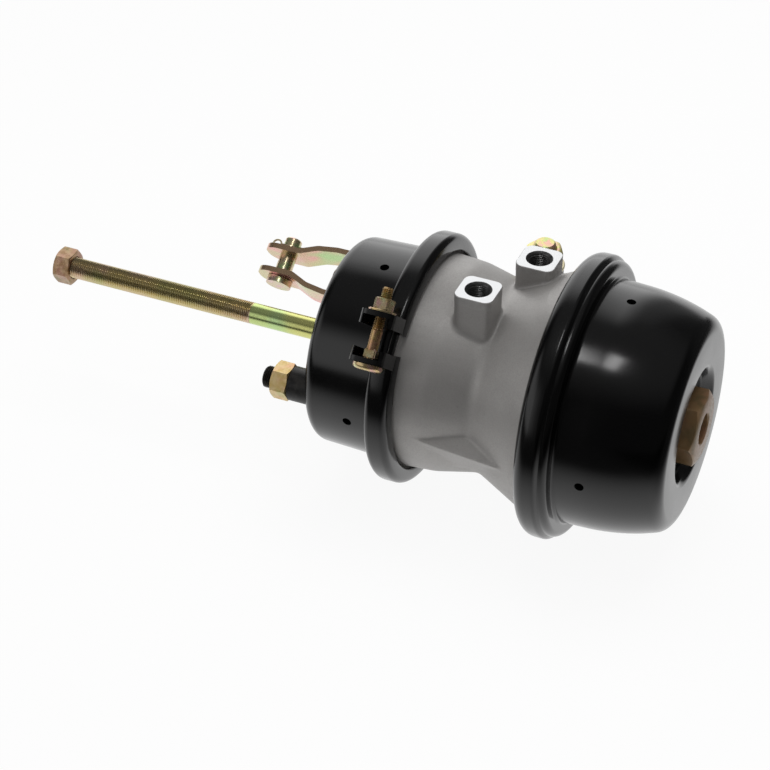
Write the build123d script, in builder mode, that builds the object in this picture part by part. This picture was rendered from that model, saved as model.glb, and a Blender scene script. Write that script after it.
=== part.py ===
from build123d import *
import os
from math import asin, atan2, cos, degrees, radians, sin

# Spring brake chamber, in millimetres.
# X runs along the chamber's axis: the push rod points to -X and the rear cap closes the +X end.
# x = 0 is the mounting face, the origin is its centre, and +Z is up, the way the air ports face.
# Radii are measured from the X axis. An angle about the axis starts at +Y and turns towards +Z.

# ---- mounting studs ----
stud_pitch = 120.65
stud_angle = 4.3
thread_r = 8.0
stud_reach = 34.4
shoulder_r = 12.5
shoulder_reach = 13.4
thread_chamfer = 1.5
stud_inner_stub = 1.0
stud_land = 0.02

# ---- clearances ----
seat_gap = 0.1
body_gap = 0.3
running_gap = 0.05
cut_margin = 1.0

# ---- service housing, pressed from sheet ----
sheet = 3.0
housing_flange = 14.5
housing_draft = 2.0
housing_corner_r = 9.0
housing_depth = 57.2
flange_bend_r = 4.0
rod_opening_r = 22.0
vent_r = 3.3
housing_vent_x = 35.3
housing_vent_angles = (97.0, 190.0, 277.0, 10.0)

# ---- clamp band around the service joint ----
band_r = 92.0
band_sheet = 3.0
band_lip_depth = 10.0
band_lip_r = band_r - band_lip_depth
band_lip_flare = 1.2
band_bend_r = 3.6
clamp_angle = 139.5
clamp_bolt_r = 4.0
clamp_bolt_rise = 14.0
clamp_bolt_ring_r = band_r + clamp_bolt_rise
clamp_nut_af = 13.0
clamp_nut_h = 8.0
clamp_washer_r = 9.8
clamp_washer_t = 1.6
clamp_thread_reach = 8.0
clamp_head_r = 10.5
clamp_head_h = 4.6
clamp_head_round = 2.0
clamp_neck = 8.4
clamp_neck_h = 7.0
band_gap = 16.0
lug_width = 25.0
lug_depth = 10.0
lug_plate = 3.5
lug_wall = 3.0
lug_edge = 11.0
lug_outer_r = clamp_bolt_ring_r + lug_edge
lug_corner_r = 6.0
lug_shift = -3.5

# ---- diaphragms ----
diaphragm_t = 3.2
diaphragm_rim = 3.4
spring_rim = 4.8
diaphragm_bends = (5.0, 3.0)
rim_width = 7.0
service_wall_depth = 21.0
spring_flat_margin = 5.0
spring_wall_depth = 16.0

# ---- centre casing, die cast ----
casing_wall = 5.0
casing_front_flange = 4.2
casing_shoulder_depth = 13.5
casing_cone_x = 92.0
casing_cone_drop = 1.7
waist_x = 124.5
waist_r = 69.3
flare_x = 156.0
flare_drop = 6.7
casing_rear_flange_x = 169.8
casing_rear_flange = 13.6
casing_rear_neck_depth = 11.6
waist_blend_r = 14.0
cone_blend_r = 30.0
web_t = 11.0
web_shift = 1.0
hub_r = 30.0
hub_length = 28.0
bush_r = 20.0

# ---- air ports ----
port_size = 28.0
port_corner_r = 6.0
port_top_z = 90.0
port_y = 26.0
port_y_shift = -1.0
port_x_offset = 12.5
port_x_middle = 124.8
port_thread_r = 8.6
port_depth = 20.0
port_passage_r = 4.0
port_chamfer = 1.0
port_root_z = 34.65
port_passage_depth = 33.7

# ---- casing ribs and release bolt pocket ----
gusset_start_x = 81.8
gusset_end_x = 165.5
gusset_angle = 189.0
gusset_proud = 0.6
gusset_foot_y = -60.3
gusset_foot_z = (5.0, -40.0)
pocket_x = 123.2
pocket_stand_off = 8.7
pocket_y = waist_r + pocket_stand_off
pocket_r = 14.5
pocket_top_z = 47.0
pocket_bottom_z = -62.0
pocket_rib_t = 10.0
pocket_rib_root = 14.0
pocket_rib_inset = 3.0
pocket_rib_rise = 12.0
pocket_bore_gap = 0.8

# ---- release bolt ----
release_tip_z = 67.5
release_head_l = 23.0
release_head_w = 8.6
release_head_h = 11.0
release_washer_r = 15.0
release_washer_t = 2.5

# ---- rear cap, rolled over the casing's rear flange ----
roll_r = 102.8
roll_lip_depth = 10.8
roll_lip_r = roll_r - roll_lip_depth
roll_step = 3.0
roll_step_front = 7.1
roll_step_rear = 4.8
roll_shoulder_r = 3.5
roll_bend_r = 8.0
cap_front_depth = 14.7
cap_middle_x = 217.0
cap_middle_draft = 1.0
cap_taper_x = 241.0
cap_taper_draft = 3.4
cap_rear_x = 265.0
cap_corner_draft = 8.2
cap_blend_r = 7.5
cap_wall_blend_r = 40.0
roll_fold_r = 2.0
cap_neck_blend_r = 4.0
recess_blend_r = 3.0
recess_r = 41.0
recess_depth = 8.5
recess_draft = 1.0
cap_hole_r = 15.0
cap_vent_x = 211.3
cap_vent_angles = (87.0, 184.0, 267.0, 4.0)

# ---- release port plug ----
plug_af = 48.0
plug_proud = 6.5
plug_bore_r = 11.0
plug_bore_depth = 10.0
plug_stem_reach = 4.0

# ---- push rod ----
rod_tip_x = -236.5
rod_r = 7.95
rod_thread_end_x = -73.2
nut_af = 24.0
nut_h = 13.0
rod_nut_tip = 1.5
push_plate_rear_x = 38.0
push_plate_t = 4.0
push_plate_r = 53.0
push_plate_rim = 5.0
plate_bend_r = 4.0
guide_r = 44.0
guide_t = 2.5

# ---- spring piston ----
actuator_r = 13.0
actuator_pad_r = 20.0
actuator_pad_t = 6.0
actuator_plate_x = 145.0
actuator_plate_t = 3.0
actuator_plate_r = 50.0
actuator_spigot_r = 10.0
pressure_plate_hub_r = 12.0
pressure_plate_flange = 6.0
pressure_plate_margin = 38.8
pressure_plate_rim = 8.0
seal_wire_r = 1.6
seal_spacing = 12.0
seal_groove = 3.8

# ---- springs ----
service_wire_r = 2.2
service_coil_front_r = 38.0
service_coil_rear_r = 24.0
service_coils = 4.5
return_wire_r = 1.1
return_coil_front_r = 26.0
return_coil_rear_r = 17.5
return_coils = 3.0
power_wire_r = 5.5
power_coil_front_r = 30.0
power_coil_margin = 15.5
power_coils = 4.0

# ---- clevis on the far stud ----
clevis_angle = 36.0
clevis_t = 4.0
clevis_width = 28.0
clevis_tip_x = -92.5
clevis_pin_x = -75.4
clevis_neck_x = -63.4
clevis_shoulder_x = -50.0
clevis_bow_x = -35.0
clevis_tip_half = 9.3
clevis_shoulder_half = 14.8
clevis_base_half = 17.0
clevis_tip_r = 12.0
clevis_bends = (8.0, 14.0, 14.0, 7.0)
clevis_pin_r = 6.35
clevis_pin_head_r = 9.6
clevis_pin_head_t = 5.0
clevis_pin_reach = 6.0
clevis_washer_t = 2.0
cotter_r = 1.3
cotter_eye_r = 3.2
cotter_leg = 9.0

# ---- places worked out from the sizes above ----
housing_rear_r = band_r - housing_flange
housing_front_r = housing_rear_r - housing_draft
service_wall_r = band_r - service_wall_depth
casing_shoulder_r = band_r - casing_shoulder_depth
casing_cone_r = casing_shoulder_r - casing_cone_drop
casing_rear_neck_r = roll_r - casing_rear_neck_depth
flare_r = casing_rear_neck_r - flare_drop
cap_front_r = roll_r - cap_front_depth
cap_middle_r = cap_front_r - cap_middle_draft
cap_taper_r = cap_middle_r - cap_taper_draft
cap_corner_r = cap_taper_r - cap_corner_draft
spring_wall_r = roll_r - spring_wall_depth
pressure_plate_r = roll_r - pressure_plate_margin
pressure_plate_flat_r = pressure_plate_r - pressure_plate_flange
power_coil_rear_r = cap_corner_r - power_coil_margin
spring_flat_r = pressure_plate_r + spring_flat_margin
band_rim_r = band_r - band_sheet - seat_gap
housing_flange_rear_x = housing_depth + sheet
casing_front_x = housing_flange_rear_x + diaphragm_rim
casing_front_flange_rear_x = casing_front_x + casing_front_flange
band_front_x = housing_depth - seat_gap - band_sheet / 2
band_rear_x = casing_front_flange_rear_x + seat_gap + band_sheet / 2
lug_x = (band_front_x + band_rear_x) / 2 + lug_shift
casing_rear_x = casing_rear_flange_x + casing_rear_flange
roll_rim_r = roll_r - sheet - seat_gap
cap_shoulder_x = casing_rear_x + spring_rim + seat_gap
web_front_x = waist_x - web_t / 2 + web_shift
web_rear_x = web_front_x + web_t
hub_front_x = web_front_x + (web_t - hub_length) / 2
hub_rear_x = hub_front_x + hub_length
stud_y = stud_pitch / 2 * cos(radians(stud_angle))
stud_z = stud_pitch / 2 * sin(radians(stud_angle))
lug_outer_w = band_gap / 2 + lug_depth
recess_floor_x = cap_rear_x - recess_depth
guide_rear_x = sheet + seat_gap + guide_t
actuator_front_x = push_plate_rear_x + diaphragm_t + 2 * body_gap + seat_gap
pressure_plate_x = actuator_plate_x + actuator_plate_t + diaphragm_t + 2 * seat_gap

os.makedirs("parts", exist_ok=True)


def radial_plane(angle, origin=(0, 0, 0)):
    """Plane through the X direction whose local y points outwards at this angle."""
    turn = radians(angle)
    return Plane(origin=origin, x_dir=(1, 0, 0), z_dir=(0, -sin(turn), cos(turn)))


def cross_plane(x, y=0.0, z=0.0):
    """Plane square to the chamber's axis, facing +X, with local x along +Y and local y along +Z."""
    return Plane(origin=(x, y, z), x_dir=(0, 1, 0), z_dir=(1, 0, 0))


def outward_plane(angle, x):
    """Plane on the axis that faces outwards at this angle."""
    return Plane(origin=(x, 0, 0), x_dir=(1, 0, 0), z_dir=(0, cos(radians(angle)), sin(radians(angle))))


def save(part, label):
    part.label = label
    export_step(part, f"parts/{label}.step")


# ---- service housing: pressed cup with a clamped flange ----
with BuildPart() as service_housing:
    with BuildSketch(radial_plane(90)):
        with BuildLine():
            FilletPolyline(
                (sheet / 2, rod_opening_r),
                (sheet / 2, housing_front_r - sheet / 2),
                (housing_depth + sheet / 2, housing_rear_r - sheet / 2),
                (housing_depth + sheet / 2, band_rim_r),
                radius=(housing_corner_r - sheet / 2, flange_bend_r),
            )
        trace(line_width=sheet)
    revolve(axis=Axis.X)
    rim = service_housing.edges().filter_by(GeomType.CIRCLE).sort_by(SortBy.RADIUS)[-2:]
    fillet(rim.sort_by(Axis.X)[0], sheet * 0.6)
    for side in (-1, 1):
        with BuildSketch(cross_plane(-cut_margin, side * stud_y, side * stud_z)):
            Circle(shoulder_r + stud_land + seat_gap / 2)
        extrude(amount=sheet + 2 * cut_margin + stud_inner_stub, mode=Mode.SUBTRACT)
    for angle in housing_vent_angles:
        with BuildSketch(outward_plane(angle, housing_vent_x)):
            Circle(vent_r)
        extrude(amount=housing_rear_r + sheet, mode=Mode.SUBTRACT)
save(service_housing.part, "service_housing")

# ---- mounting studs: shouldered, welded through the housing's face ----
with BuildPart() as mounting_studs:
    for side in (-1, 1):
        with BuildSketch(cross_plane(0, side * stud_y, side * stud_z)):
            Circle(shoulder_r + stud_land)
        extrude(amount=sheet + stud_inner_stub)
        with BuildSketch(cross_plane(0, side * stud_y, side * stud_z)):
            Circle(shoulder_r)
        extrude(amount=-shoulder_reach)
        with BuildSketch(cross_plane(-shoulder_reach, side * stud_y, side * stud_z)):
            Circle(thread_r)
        extrude(amount=-(stud_reach - shoulder_reach))
    tips = mounting_studs.edges().filter_by(GeomType.CIRCLE).group_by(Axis.X)[0]
    chamfer(tips, thread_chamfer)
save(mounting_studs.part, "mounting_studs")

# ---- nut on the near stud ----
with BuildPart() as stud_nut:
    with BuildSketch(cross_plane(-shoulder_reach - seat_gap, -stud_y, -stud_z)):
        RegularPolygon(nut_af / 2, 6, major_radius=False)
        Circle(thread_r + running_gap, mode=Mode.SUBTRACT)
    extrude(amount=-nut_h)
save(stud_nut.part, "stud_nut")

# ---- rod guide: plastic disc that closes the rod's opening ----
with BuildPart() as rod_guide:
    with BuildSketch(cross_plane(sheet + seat_gap)):
        Circle(guide_r)
        Circle(rod_r + running_gap, mode=Mode.SUBTRACT)
    extrude(amount=guide_t)
    with BuildSketch(cross_plane(0)):
        Circle(rod_opening_r - body_gap)
        Circle(rod_r + running_gap, mode=Mode.SUBTRACT)
    extrude(amount=sheet + seat_gap)
save(rod_guide.part, "rod_guide")


# ---- clamp band: two rolled halves with a channel lug at each end ----
def clamp_half(start_angle):
    """One half of the band, from one bolt to the other."""
    gap_angle = degrees(asin(band_gap / 2 / band_r))
    with BuildPart() as half:
        with BuildSketch(radial_plane(start_angle + gap_angle)):
            with BuildLine():
                FilletPolyline(
                    (band_front_x - band_lip_flare, band_lip_r),
                    (band_front_x, band_r - band_sheet / 2),
                    (band_rear_x, band_r - band_sheet / 2),
                    (band_rear_x + band_lip_flare, band_lip_r),
                    radius=band_bend_r,
                )
            trace(line_width=band_sheet)
        revolve(axis=Axis.X, revolution_arc=180 - 2 * gap_angle)
        for angle, way in ((start_angle, 1), (start_angle + 180, -1)):
            lug_face = radial_plane(angle, (lug_x, 0, 0)).offset(way * band_gap / 2)
            lug_base_r = band_r - band_sheet * 0.8
            with BuildSketch(lug_face):
                with Locations((0, (lug_base_r + lug_outer_r) / 2)):
                    outline = Rectangle(lug_width, lug_outer_r - lug_base_r)
                fillet(outline.vertices().group_by(Axis.Y)[-1], lug_corner_r)
            extrude(amount=way * lug_depth)
            with BuildSketch(lug_face):
                with Locations((0, band_r + lug_plate / 2 + lug_outer_r / 2)):
                    Rectangle(lug_width - 2 * lug_wall, lug_outer_r)
            extrude(amount=way * (lug_depth - lug_plate), mode=Mode.SUBTRACT)
            with BuildSketch(lug_face):
                with Locations((0, clamp_bolt_ring_r)):
                    Circle(clamp_bolt_r + body_gap)
            extrude(amount=way * lug_depth, mode=Mode.SUBTRACT)
    return half.part


save(clamp_half(clamp_angle + 180), "clamp_half_upper")
save(clamp_half(clamp_angle), "clamp_half_lower")


def bolt_plane(angle):
    """Plane across a clamp bolt at the middle of its gap; the bolt's head is on the +normal side."""
    turn = radians(angle)
    middle = (lug_x, clamp_bolt_ring_r * cos(turn), clamp_bolt_ring_r * sin(turn))
    return radial_plane(angle, middle)


bolt_angles = (clamp_angle, clamp_angle + 180)
clamp_nut_w = lug_outer_w + seat_gap + clamp_washer_t + seat_gap

with BuildPart() as clamp_bolts:
    for angle in bolt_angles:
        across = bolt_plane(angle)
        with BuildSketch(across.offset(lug_outer_w + seat_gap)):
            Circle(clamp_bolt_r)
        extrude(amount=-(2 * lug_outer_w + clamp_nut_h + clamp_washer_t + clamp_thread_reach))
        with BuildSketch(across.offset(lug_outer_w + seat_gap)):
            Circle(clamp_head_r)
        extrude(amount=clamp_head_h)
        crowns = clamp_bolts.edges().filter_by(GeomType.CIRCLE).sort_by(Axis((0, 0, 0), across.z_dir))
        fillet(crowns[-1], clamp_head_round)
        with BuildSketch(across.offset(lug_outer_w - lug_plate - seat_gap)):
            Rectangle(clamp_neck, clamp_neck)
        extrude(amount=-clamp_neck_h)
save(clamp_bolts.part, "clamp_bolts")

with BuildPart() as clamp_washers:
    for angle in bolt_angles:
        with BuildSketch(bolt_plane(angle).offset(-lug_outer_w - seat_gap)):
            Circle(clamp_washer_r)
            Circle(clamp_bolt_r + body_gap, mode=Mode.SUBTRACT)
        extrude(amount=-clamp_washer_t)
save(clamp_washers.part, "clamp_washers")

with BuildPart() as clamp_nuts:
    for angle in bolt_angles:
        with BuildSketch(bolt_plane(angle).offset(-clamp_nut_w)):
            RegularPolygon(clamp_nut_af / 2, 6, major_radius=False)
            Circle(clamp_bolt_r + running_gap, mode=Mode.SUBTRACT)
        extrude(amount=-clamp_nut_h)
save(clamp_nuts.part, "clamp_nuts")

# ---- service diaphragm: rubber cup, pushed forward by the spring piston ----
diaphragm_mid_x = push_plate_rear_x + body_gap + diaphragm_t / 2
service_rim_x = housing_flange_rear_x + diaphragm_rim / 2
with BuildPart() as service_diaphragm:
    with BuildSketch(radial_plane(90)):
        with BuildLine():
            FilletPolyline(
                (diaphragm_mid_x, 0),
                (diaphragm_mid_x, push_plate_r + diaphragm_t),
                (service_rim_x, service_wall_r),
                (service_rim_x, band_rim_r - body_gap),
                radius=diaphragm_bends,
            )
        trace(line_width=diaphragm_t)
        with Locations((service_rim_x, band_rim_r - body_gap - rim_width / 2)):
            Rectangle(diaphragm_rim - seat_gap, rim_width)
    revolve(axis=Axis.X)
save(service_diaphragm.part, "service_diaphragm")

# ---- centre casing: cast body with two cavities, air ports, rib and release bolt pocket ----
flare_slope = (flare_r - waist_r) / (flare_x - waist_x)
inner_drop = casing_wall * (1 + flare_slope**2) ** 0.5
gusset_turn = radians(gusset_angle)
port_places = (
    (port_x_middle - port_x_offset, port_y_shift - port_y),
    (port_x_middle + port_x_offset, port_y_shift + port_y),
)
with BuildPart() as center_casing:
    with BuildSketch(radial_plane(90)):
        with BuildLine():
            body_line = FilletPolyline(
                (casing_front_flange_rear_x, casing_shoulder_r),
                (casing_cone_x, casing_cone_r),
                (waist_x, waist_r),
                (flare_x, flare_r),
                (casing_rear_flange_x, casing_rear_neck_r),
                radius=(cone_blend_r, waist_blend_r, cone_blend_r),
            )
            Polyline(
                body_line @ 0,
                (casing_front_flange_rear_x, band_rim_r),
                (casing_front_x, band_rim_r),
                (casing_front_x, 0),
                (casing_rear_x, 0),
                (casing_rear_x, roll_rim_r),
                (casing_rear_flange_x, roll_rim_r),
                body_line @ 1,
            )
        make_face()
    revolve(axis=Axis.X)
    with BuildSketch(Plane.XY.offset(port_root_z)):
        for place in port_places:
            with Locations(place):
                RectangleRounded(port_size, port_size, port_corner_r)
    extrude(amount=port_top_z - port_root_z)
    for x, crest_r in ((gusset_start_x, casing_cone_r), (gusset_end_x, flare_r)):
        crest = crest_r + gusset_proud
        with BuildSketch(cross_plane(x)):
            with BuildLine():
                Polyline(
                    (crest * cos(gusset_turn), crest * sin(gusset_turn)),
                    (gusset_foot_y, gusset_foot_z[0]),
                    (gusset_foot_y, gusset_foot_z[1]),
                    close=True,
                )
            make_face()
    loft()
    with BuildSketch(Plane.XY.offset(pocket_bottom_z)):
        with Locations((pocket_x, pocket_y)):
            Circle(pocket_r)
    extrude(amount=pocket_top_z - pocket_bottom_z)
    with BuildSketch(cross_plane(pocket_x - pocket_rib_t / 2)):
        with BuildLine():
            Polyline(
                (waist_r - pocket_rib_root, pocket_top_z - pocket_rib_inset),
                (pocket_y, pocket_top_z - pocket_rib_inset),
                (pocket_y, pocket_bottom_z + pocket_rib_inset),
                (waist_r - pocket_rib_root, pocket_bottom_z + pocket_rib_rise),
                close=True,
            )
        make_face()
    extrude(amount=pocket_rib_t)
    with BuildSketch(radial_plane(90)):
        with BuildLine():
            Polyline(
                (casing_front_x - cut_margin, 0),
                (casing_front_x - cut_margin, casing_shoulder_r - casing_wall),
                (casing_cone_x, casing_cone_r - casing_wall),
                (web_front_x, waist_r - casing_wall + web_shift / 2),
                (web_front_x, hub_r),
                (hub_front_x, hub_r),
                (hub_front_x, 0),
                close=True,
            )
        make_face()
        with BuildLine():
            Polyline(
                (casing_rear_x + cut_margin, 0),
                (casing_rear_x + cut_margin, casing_rear_neck_r - cut_margin),
                (casing_rear_flange_x, casing_rear_neck_r - casing_wall),
                (flare_x, flare_r - inner_drop),
                (web_rear_x, waist_r + flare_slope * (web_rear_x - waist_x) - inner_drop),
                (web_rear_x, hub_r),
                (hub_rear_x, hub_r),
                (hub_rear_x, 0),
                close=True,
            )
        make_face()
    revolve(axis=Axis.X, mode=Mode.SUBTRACT)
    with BuildSketch(cross_plane(hub_front_x - cut_margin)):
        Circle(bush_r)
    extrude(amount=hub_length + 2 * cut_margin, mode=Mode.SUBTRACT)
    with BuildSketch(Plane.XY.offset(port_top_z)):
        with Locations(*port_places):
            Circle(port_thread_r)
    extrude(amount=-port_depth, mode=Mode.SUBTRACT)
    with BuildSketch(Plane.XY.offset(port_top_z)):
        with Locations(*port_places):
            Circle(port_passage_r)
    extrude(amount=-port_passage_depth, mode=Mode.SUBTRACT)
    mouths = center_casing.edges().filter_by(GeomType.CIRCLE)
    mouths = mouths.filter_by_position(Axis.Z, port_top_z - 0.01, port_top_z + 0.01)
    chamfer(mouths, port_chamfer)
    with BuildSketch(Plane.XY.offset(pocket_bottom_z)):
        with Locations((pocket_x, pocket_y)):
            Circle(thread_r + pocket_bore_gap)
            Rectangle(release_head_w + 2 * pocket_bore_gap, release_head_l + 2 * pocket_bore_gap)
    extrude(amount=pocket_top_z - pocket_bottom_z, mode=Mode.SUBTRACT)
    flange_edges = center_casing.edges().filter_by(GeomType.CIRCLE)
    band_edge = flange_edges.filter_by(lambda e: abs(e.radius - band_rim_r) < 0.01).sort_by(Axis.X)[-1]
    chamfer(band_edge, casing_front_flange / 2)
    roll_edges = flange_edges.filter_by(lambda e: abs(e.radius - roll_rim_r) < 0.01).sort_by(Axis.X)
    fillet(roll_edges[0], roll_bend_r - sheet / 2 + seat_gap)
    chamfer(roll_edges[-1], roll_step)
save(center_casing.part, "center_casing")

# ---- bush and its two O-rings, in the casing's hub ----
seal_places = [hub_front_x + hub_length / 2 + side * seal_spacing / 2 for side in (-1, 1)]
seal_mid_r = actuator_r + seat_gap + seal_wire_r
with BuildPart() as rod_bush:
    with BuildSketch(cross_plane(hub_front_x)):
        Circle(bush_r - seat_gap / 2)
        Circle(actuator_r + running_gap, mode=Mode.SUBTRACT)
    extrude(amount=hub_length)
    with BuildSketch(radial_plane(90)):
        for x in seal_places:
            with Locations((x, actuator_r + seal_wire_r)):
                Rectangle(seal_groove, seal_groove)
    revolve(axis=Axis.X, mode=Mode.SUBTRACT)
save(rod_bush.part, "rod_bush")

with BuildPart() as rod_seals:
    with BuildSketch(radial_plane(90)):
        for x in seal_places:
            with Locations((x, seal_mid_r)):
                Circle(seal_wire_r)
    revolve(axis=Axis.X)
save(rod_seals.part, "rod_seals")

# ---- release bolt stowed in the pocket, with its washer and nut ----
with BuildPart() as release_bolt:
    with BuildSketch(Plane.XY.offset(pocket_bottom_z - seat_gap)):
        with Locations((pocket_x, pocket_y)):
            Rectangle(release_head_l, release_head_w)
    extrude(amount=-release_head_h)
    with BuildSketch(Plane.XY.offset(pocket_bottom_z - seat_gap)):
        with Locations((pocket_x, pocket_y)):
            Circle(thread_r)
    extrude(amount=release_tip_z - pocket_bottom_z + seat_gap)
    chamfer(release_bolt.edges().filter_by(GeomType.CIRCLE).sort_by(Axis.Z)[-1], thread_chamfer)
save(release_bolt.part, "release_bolt")

with BuildPart() as release_washer:
    with BuildSketch(Plane.XY.offset(pocket_top_z)):
        with Locations((pocket_x, pocket_y)):
            Circle(release_washer_r)
            Circle(thread_r + body_gap, mode=Mode.SUBTRACT)
    extrude(amount=release_washer_t)
save(release_washer.part, "release_washer")

with BuildPart() as release_nut:
    with BuildSketch(Plane.XY.offset(pocket_top_z + release_washer_t + seat_gap)):
        with Locations((pocket_x, pocket_y)):
            RegularPolygon(nut_af / 2, 6, major_radius=False)
            Circle(thread_r + running_gap, mode=Mode.SUBTRACT)
    extrude(amount=nut_h)
save(release_nut.part, "release_nut")

# ---- spring diaphragm: lies forward over the pressure plate ----
spring_diaphragm_x = actuator_plate_x + actuator_plate_t + seat_gap + diaphragm_t / 2
spring_rim_x = casing_rear_x + spring_rim / 2
spring_rim_r = roll_rim_r - roll_step - (roll_shoulder_r - sheet / 2)
with BuildPart() as spring_diaphragm:
    with BuildSketch(radial_plane(90)):
        with BuildLine():
            FilletPolyline(
                (spring_diaphragm_x, 0),
                (spring_diaphragm_x, spring_flat_r),
                (spring_rim_x, spring_wall_r),
                (spring_rim_x, spring_rim_r),
                radius=diaphragm_bends,
            )
        trace(line_width=diaphragm_t)
        with Locations((spring_rim_x, spring_rim_r - rim_width / 2)):
            Rectangle(spring_rim - seat_gap, rim_width)
    revolve(axis=Axis.X)
save(spring_diaphragm.part, "spring_diaphragm")

# ---- rear cap: one pressing from the rolled rim to the release port ----
roll_mid_x = casing_rear_flange_x - seat_gap - sheet / 2
shoulder_mid_x = cap_shoulder_x + sheet / 2
roll_mid_r = roll_r - sheet / 2
cap_bends = (
    roll_shoulder_r,
    cap_neck_blend_r,
    cap_wall_blend_r,
    cap_wall_blend_r,
    cap_blend_r,
    recess_blend_r,
    recess_blend_r,
)
with BuildPart() as rear_cap:
    with BuildSketch(radial_plane(90)):
        with BuildLine():
            FilletPolyline(
                (roll_mid_x, roll_lip_r),
                (roll_mid_x, roll_mid_r),
                (shoulder_mid_x - roll_step_front, roll_mid_r),
                (shoulder_mid_x - roll_step_rear, roll_mid_r - roll_step),
                (shoulder_mid_x, roll_mid_r - roll_step),
                (shoulder_mid_x, cap_front_r - sheet / 2),
                (cap_middle_x, cap_middle_r - sheet / 2),
                (cap_taper_x, cap_taper_r - sheet / 2),
                (cap_rear_x - sheet / 2, cap_corner_r - sheet / 2),
                (cap_rear_x - sheet / 2, recess_r + sheet / 2),
                (recess_floor_x - sheet / 2, recess_r - recess_draft),
                (recess_floor_x - sheet / 2, cap_hole_r),
                radius=(roll_bend_r, roll_fold_r, roll_fold_r, *cap_bends),
            )
        trace(line_width=sheet)
    revolve(axis=Axis.X)
    for angle in cap_vent_angles:
        with BuildSketch(outward_plane(angle, cap_vent_x)):
            Circle(vent_r)
        extrude(amount=roll_r, mode=Mode.SUBTRACT)
save(rear_cap.part, "rear_cap")

# ---- hexagonal plug in the release port ----
with BuildPart() as port_plug:
    with BuildSketch(cross_plane(recess_floor_x)):
        RegularPolygon(plug_af / 2, 6, major_radius=False)
    extrude(amount=recess_depth + plug_proud)
    with BuildSketch(cross_plane(recess_floor_x)):
        Circle(cap_hole_r - seat_gap)
    extrude(amount=-(sheet + plug_stem_reach))
    with BuildSketch(cross_plane(cap_rear_x + plug_proud)):
        Circle(plug_bore_r)
    extrude(amount=-plug_bore_depth, mode=Mode.SUBTRACT)
save(port_plug.part, "port_plug")

# ---- push rod with its plate and nut ----
with BuildPart() as push_rod:
    with BuildSketch(cross_plane(push_plate_rear_x)):
        Circle(rod_r)
    extrude(amount=rod_thread_end_x - push_plate_rear_x)
    with BuildSketch(cross_plane(rod_thread_end_x)):
        Circle(thread_r)
    extrude(amount=rod_tip_x - rod_thread_end_x)
    chamfer(push_rod.edges().filter_by(GeomType.CIRCLE).group_by(Axis.X)[0], thread_chamfer)
save(push_rod.part, "push_rod")

push_plate_mid_x = push_plate_rear_x - push_plate_t / 2
with BuildPart() as push_plate:
    with BuildSketch(radial_plane(90)):
        with BuildLine():
            FilletPolyline(
                (push_plate_mid_x, rod_r + seat_gap),
                (push_plate_mid_x, push_plate_r - push_plate_rim),
                (push_plate_mid_x - push_plate_rim, push_plate_r - push_plate_t / 2),
                radius=plate_bend_r,
            )
        trace(line_width=push_plate_t)
    revolve(axis=Axis.X)
save(push_plate.part, "push_plate")

with BuildPart() as push_rod_nut:
    with BuildSketch(cross_plane(rod_tip_x + rod_nut_tip)):
        RegularPolygon(nut_af / 2, 6, major_radius=False)
        Circle(thread_r + running_gap, mode=Mode.SUBTRACT)
    extrude(amount=nut_h)
save(push_rod_nut.part, "push_rod_nut")

# ---- spring piston: actuating rod, its plate, and the pressure plate behind the diaphragm ----
with BuildPart() as actuating_rod:
    with BuildSketch(radial_plane(90)):
        with BuildLine():
            Polyline(
                (actuator_front_x, 0),
                (actuator_front_x, actuator_pad_r),
                (actuator_front_x + actuator_pad_t, actuator_pad_r),
                (actuator_front_x + actuator_pad_t, actuator_r),
                (actuator_plate_x, actuator_r),
                (actuator_plate_x, actuator_spigot_r),
                (actuator_plate_x + actuator_plate_t, actuator_spigot_r),
                (actuator_plate_x + actuator_plate_t, 0),
                close=True,
            )
        make_face()
    revolve(axis=Axis.X)
save(actuating_rod.part, "actuating_rod")

with BuildPart() as actuating_plate:
    with BuildSketch(cross_plane(actuator_plate_x)):
        Circle(actuator_plate_r)
        Circle(actuator_spigot_r + running_gap, mode=Mode.SUBTRACT)
    extrude(amount=actuator_plate_t)
save(actuating_plate.part, "actuating_plate")

pressure_mid_x = pressure_plate_x + sheet / 2
with BuildPart() as pressure_plate:
    with BuildSketch(radial_plane(90)):
        with BuildLine():
            FilletPolyline(
                (pressure_mid_x, pressure_plate_hub_r),
                (pressure_mid_x, pressure_plate_flat_r),
                (pressure_mid_x + pressure_plate_rim, pressure_plate_r),
                radius=plate_bend_r,
            )
        trace(line_width=sheet)
    revolve(axis=Axis.X)
save(pressure_plate.part, "pressure_plate")


# ---- coil springs ----
def coil_spring(front_x, rear_x, wire_r, front_r, rear_r, coils):
    """Conical coil between two seats, its wire just clear of each."""
    start_x = front_x + wire_r + seat_gap
    height = rear_x - front_x - 2 * (wire_r + seat_gap)
    taper = degrees(atan2(rear_r - front_r, height))
    coil = Helix(height / coils, height, front_r, (start_x, 0, 0), (1, 0, 0), taper)
    with BuildPart() as spring:
        with BuildSketch(Plane(origin=coil @ 0, z_dir=coil % 0)):
            Circle(wire_r)
        sweep(path=coil, is_frenet=True)
    return spring.part


service_coil = (service_wire_r, service_coil_front_r, service_coil_rear_r, service_coils)
return_coil = (return_wire_r, return_coil_front_r, return_coil_rear_r, return_coils)
power_coil = (power_wire_r, power_coil_front_r, power_coil_rear_r, power_coils)
save(coil_spring(guide_rear_x, push_plate_rear_x - push_plate_t, *service_coil), "service_return_spring")
save(coil_spring(hub_rear_x, actuator_plate_x, *return_coil), "rod_return_spring")
save(coil_spring(pressure_plate_x + sheet, cap_rear_x - sheet, *power_coil), "power_spring")

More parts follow.
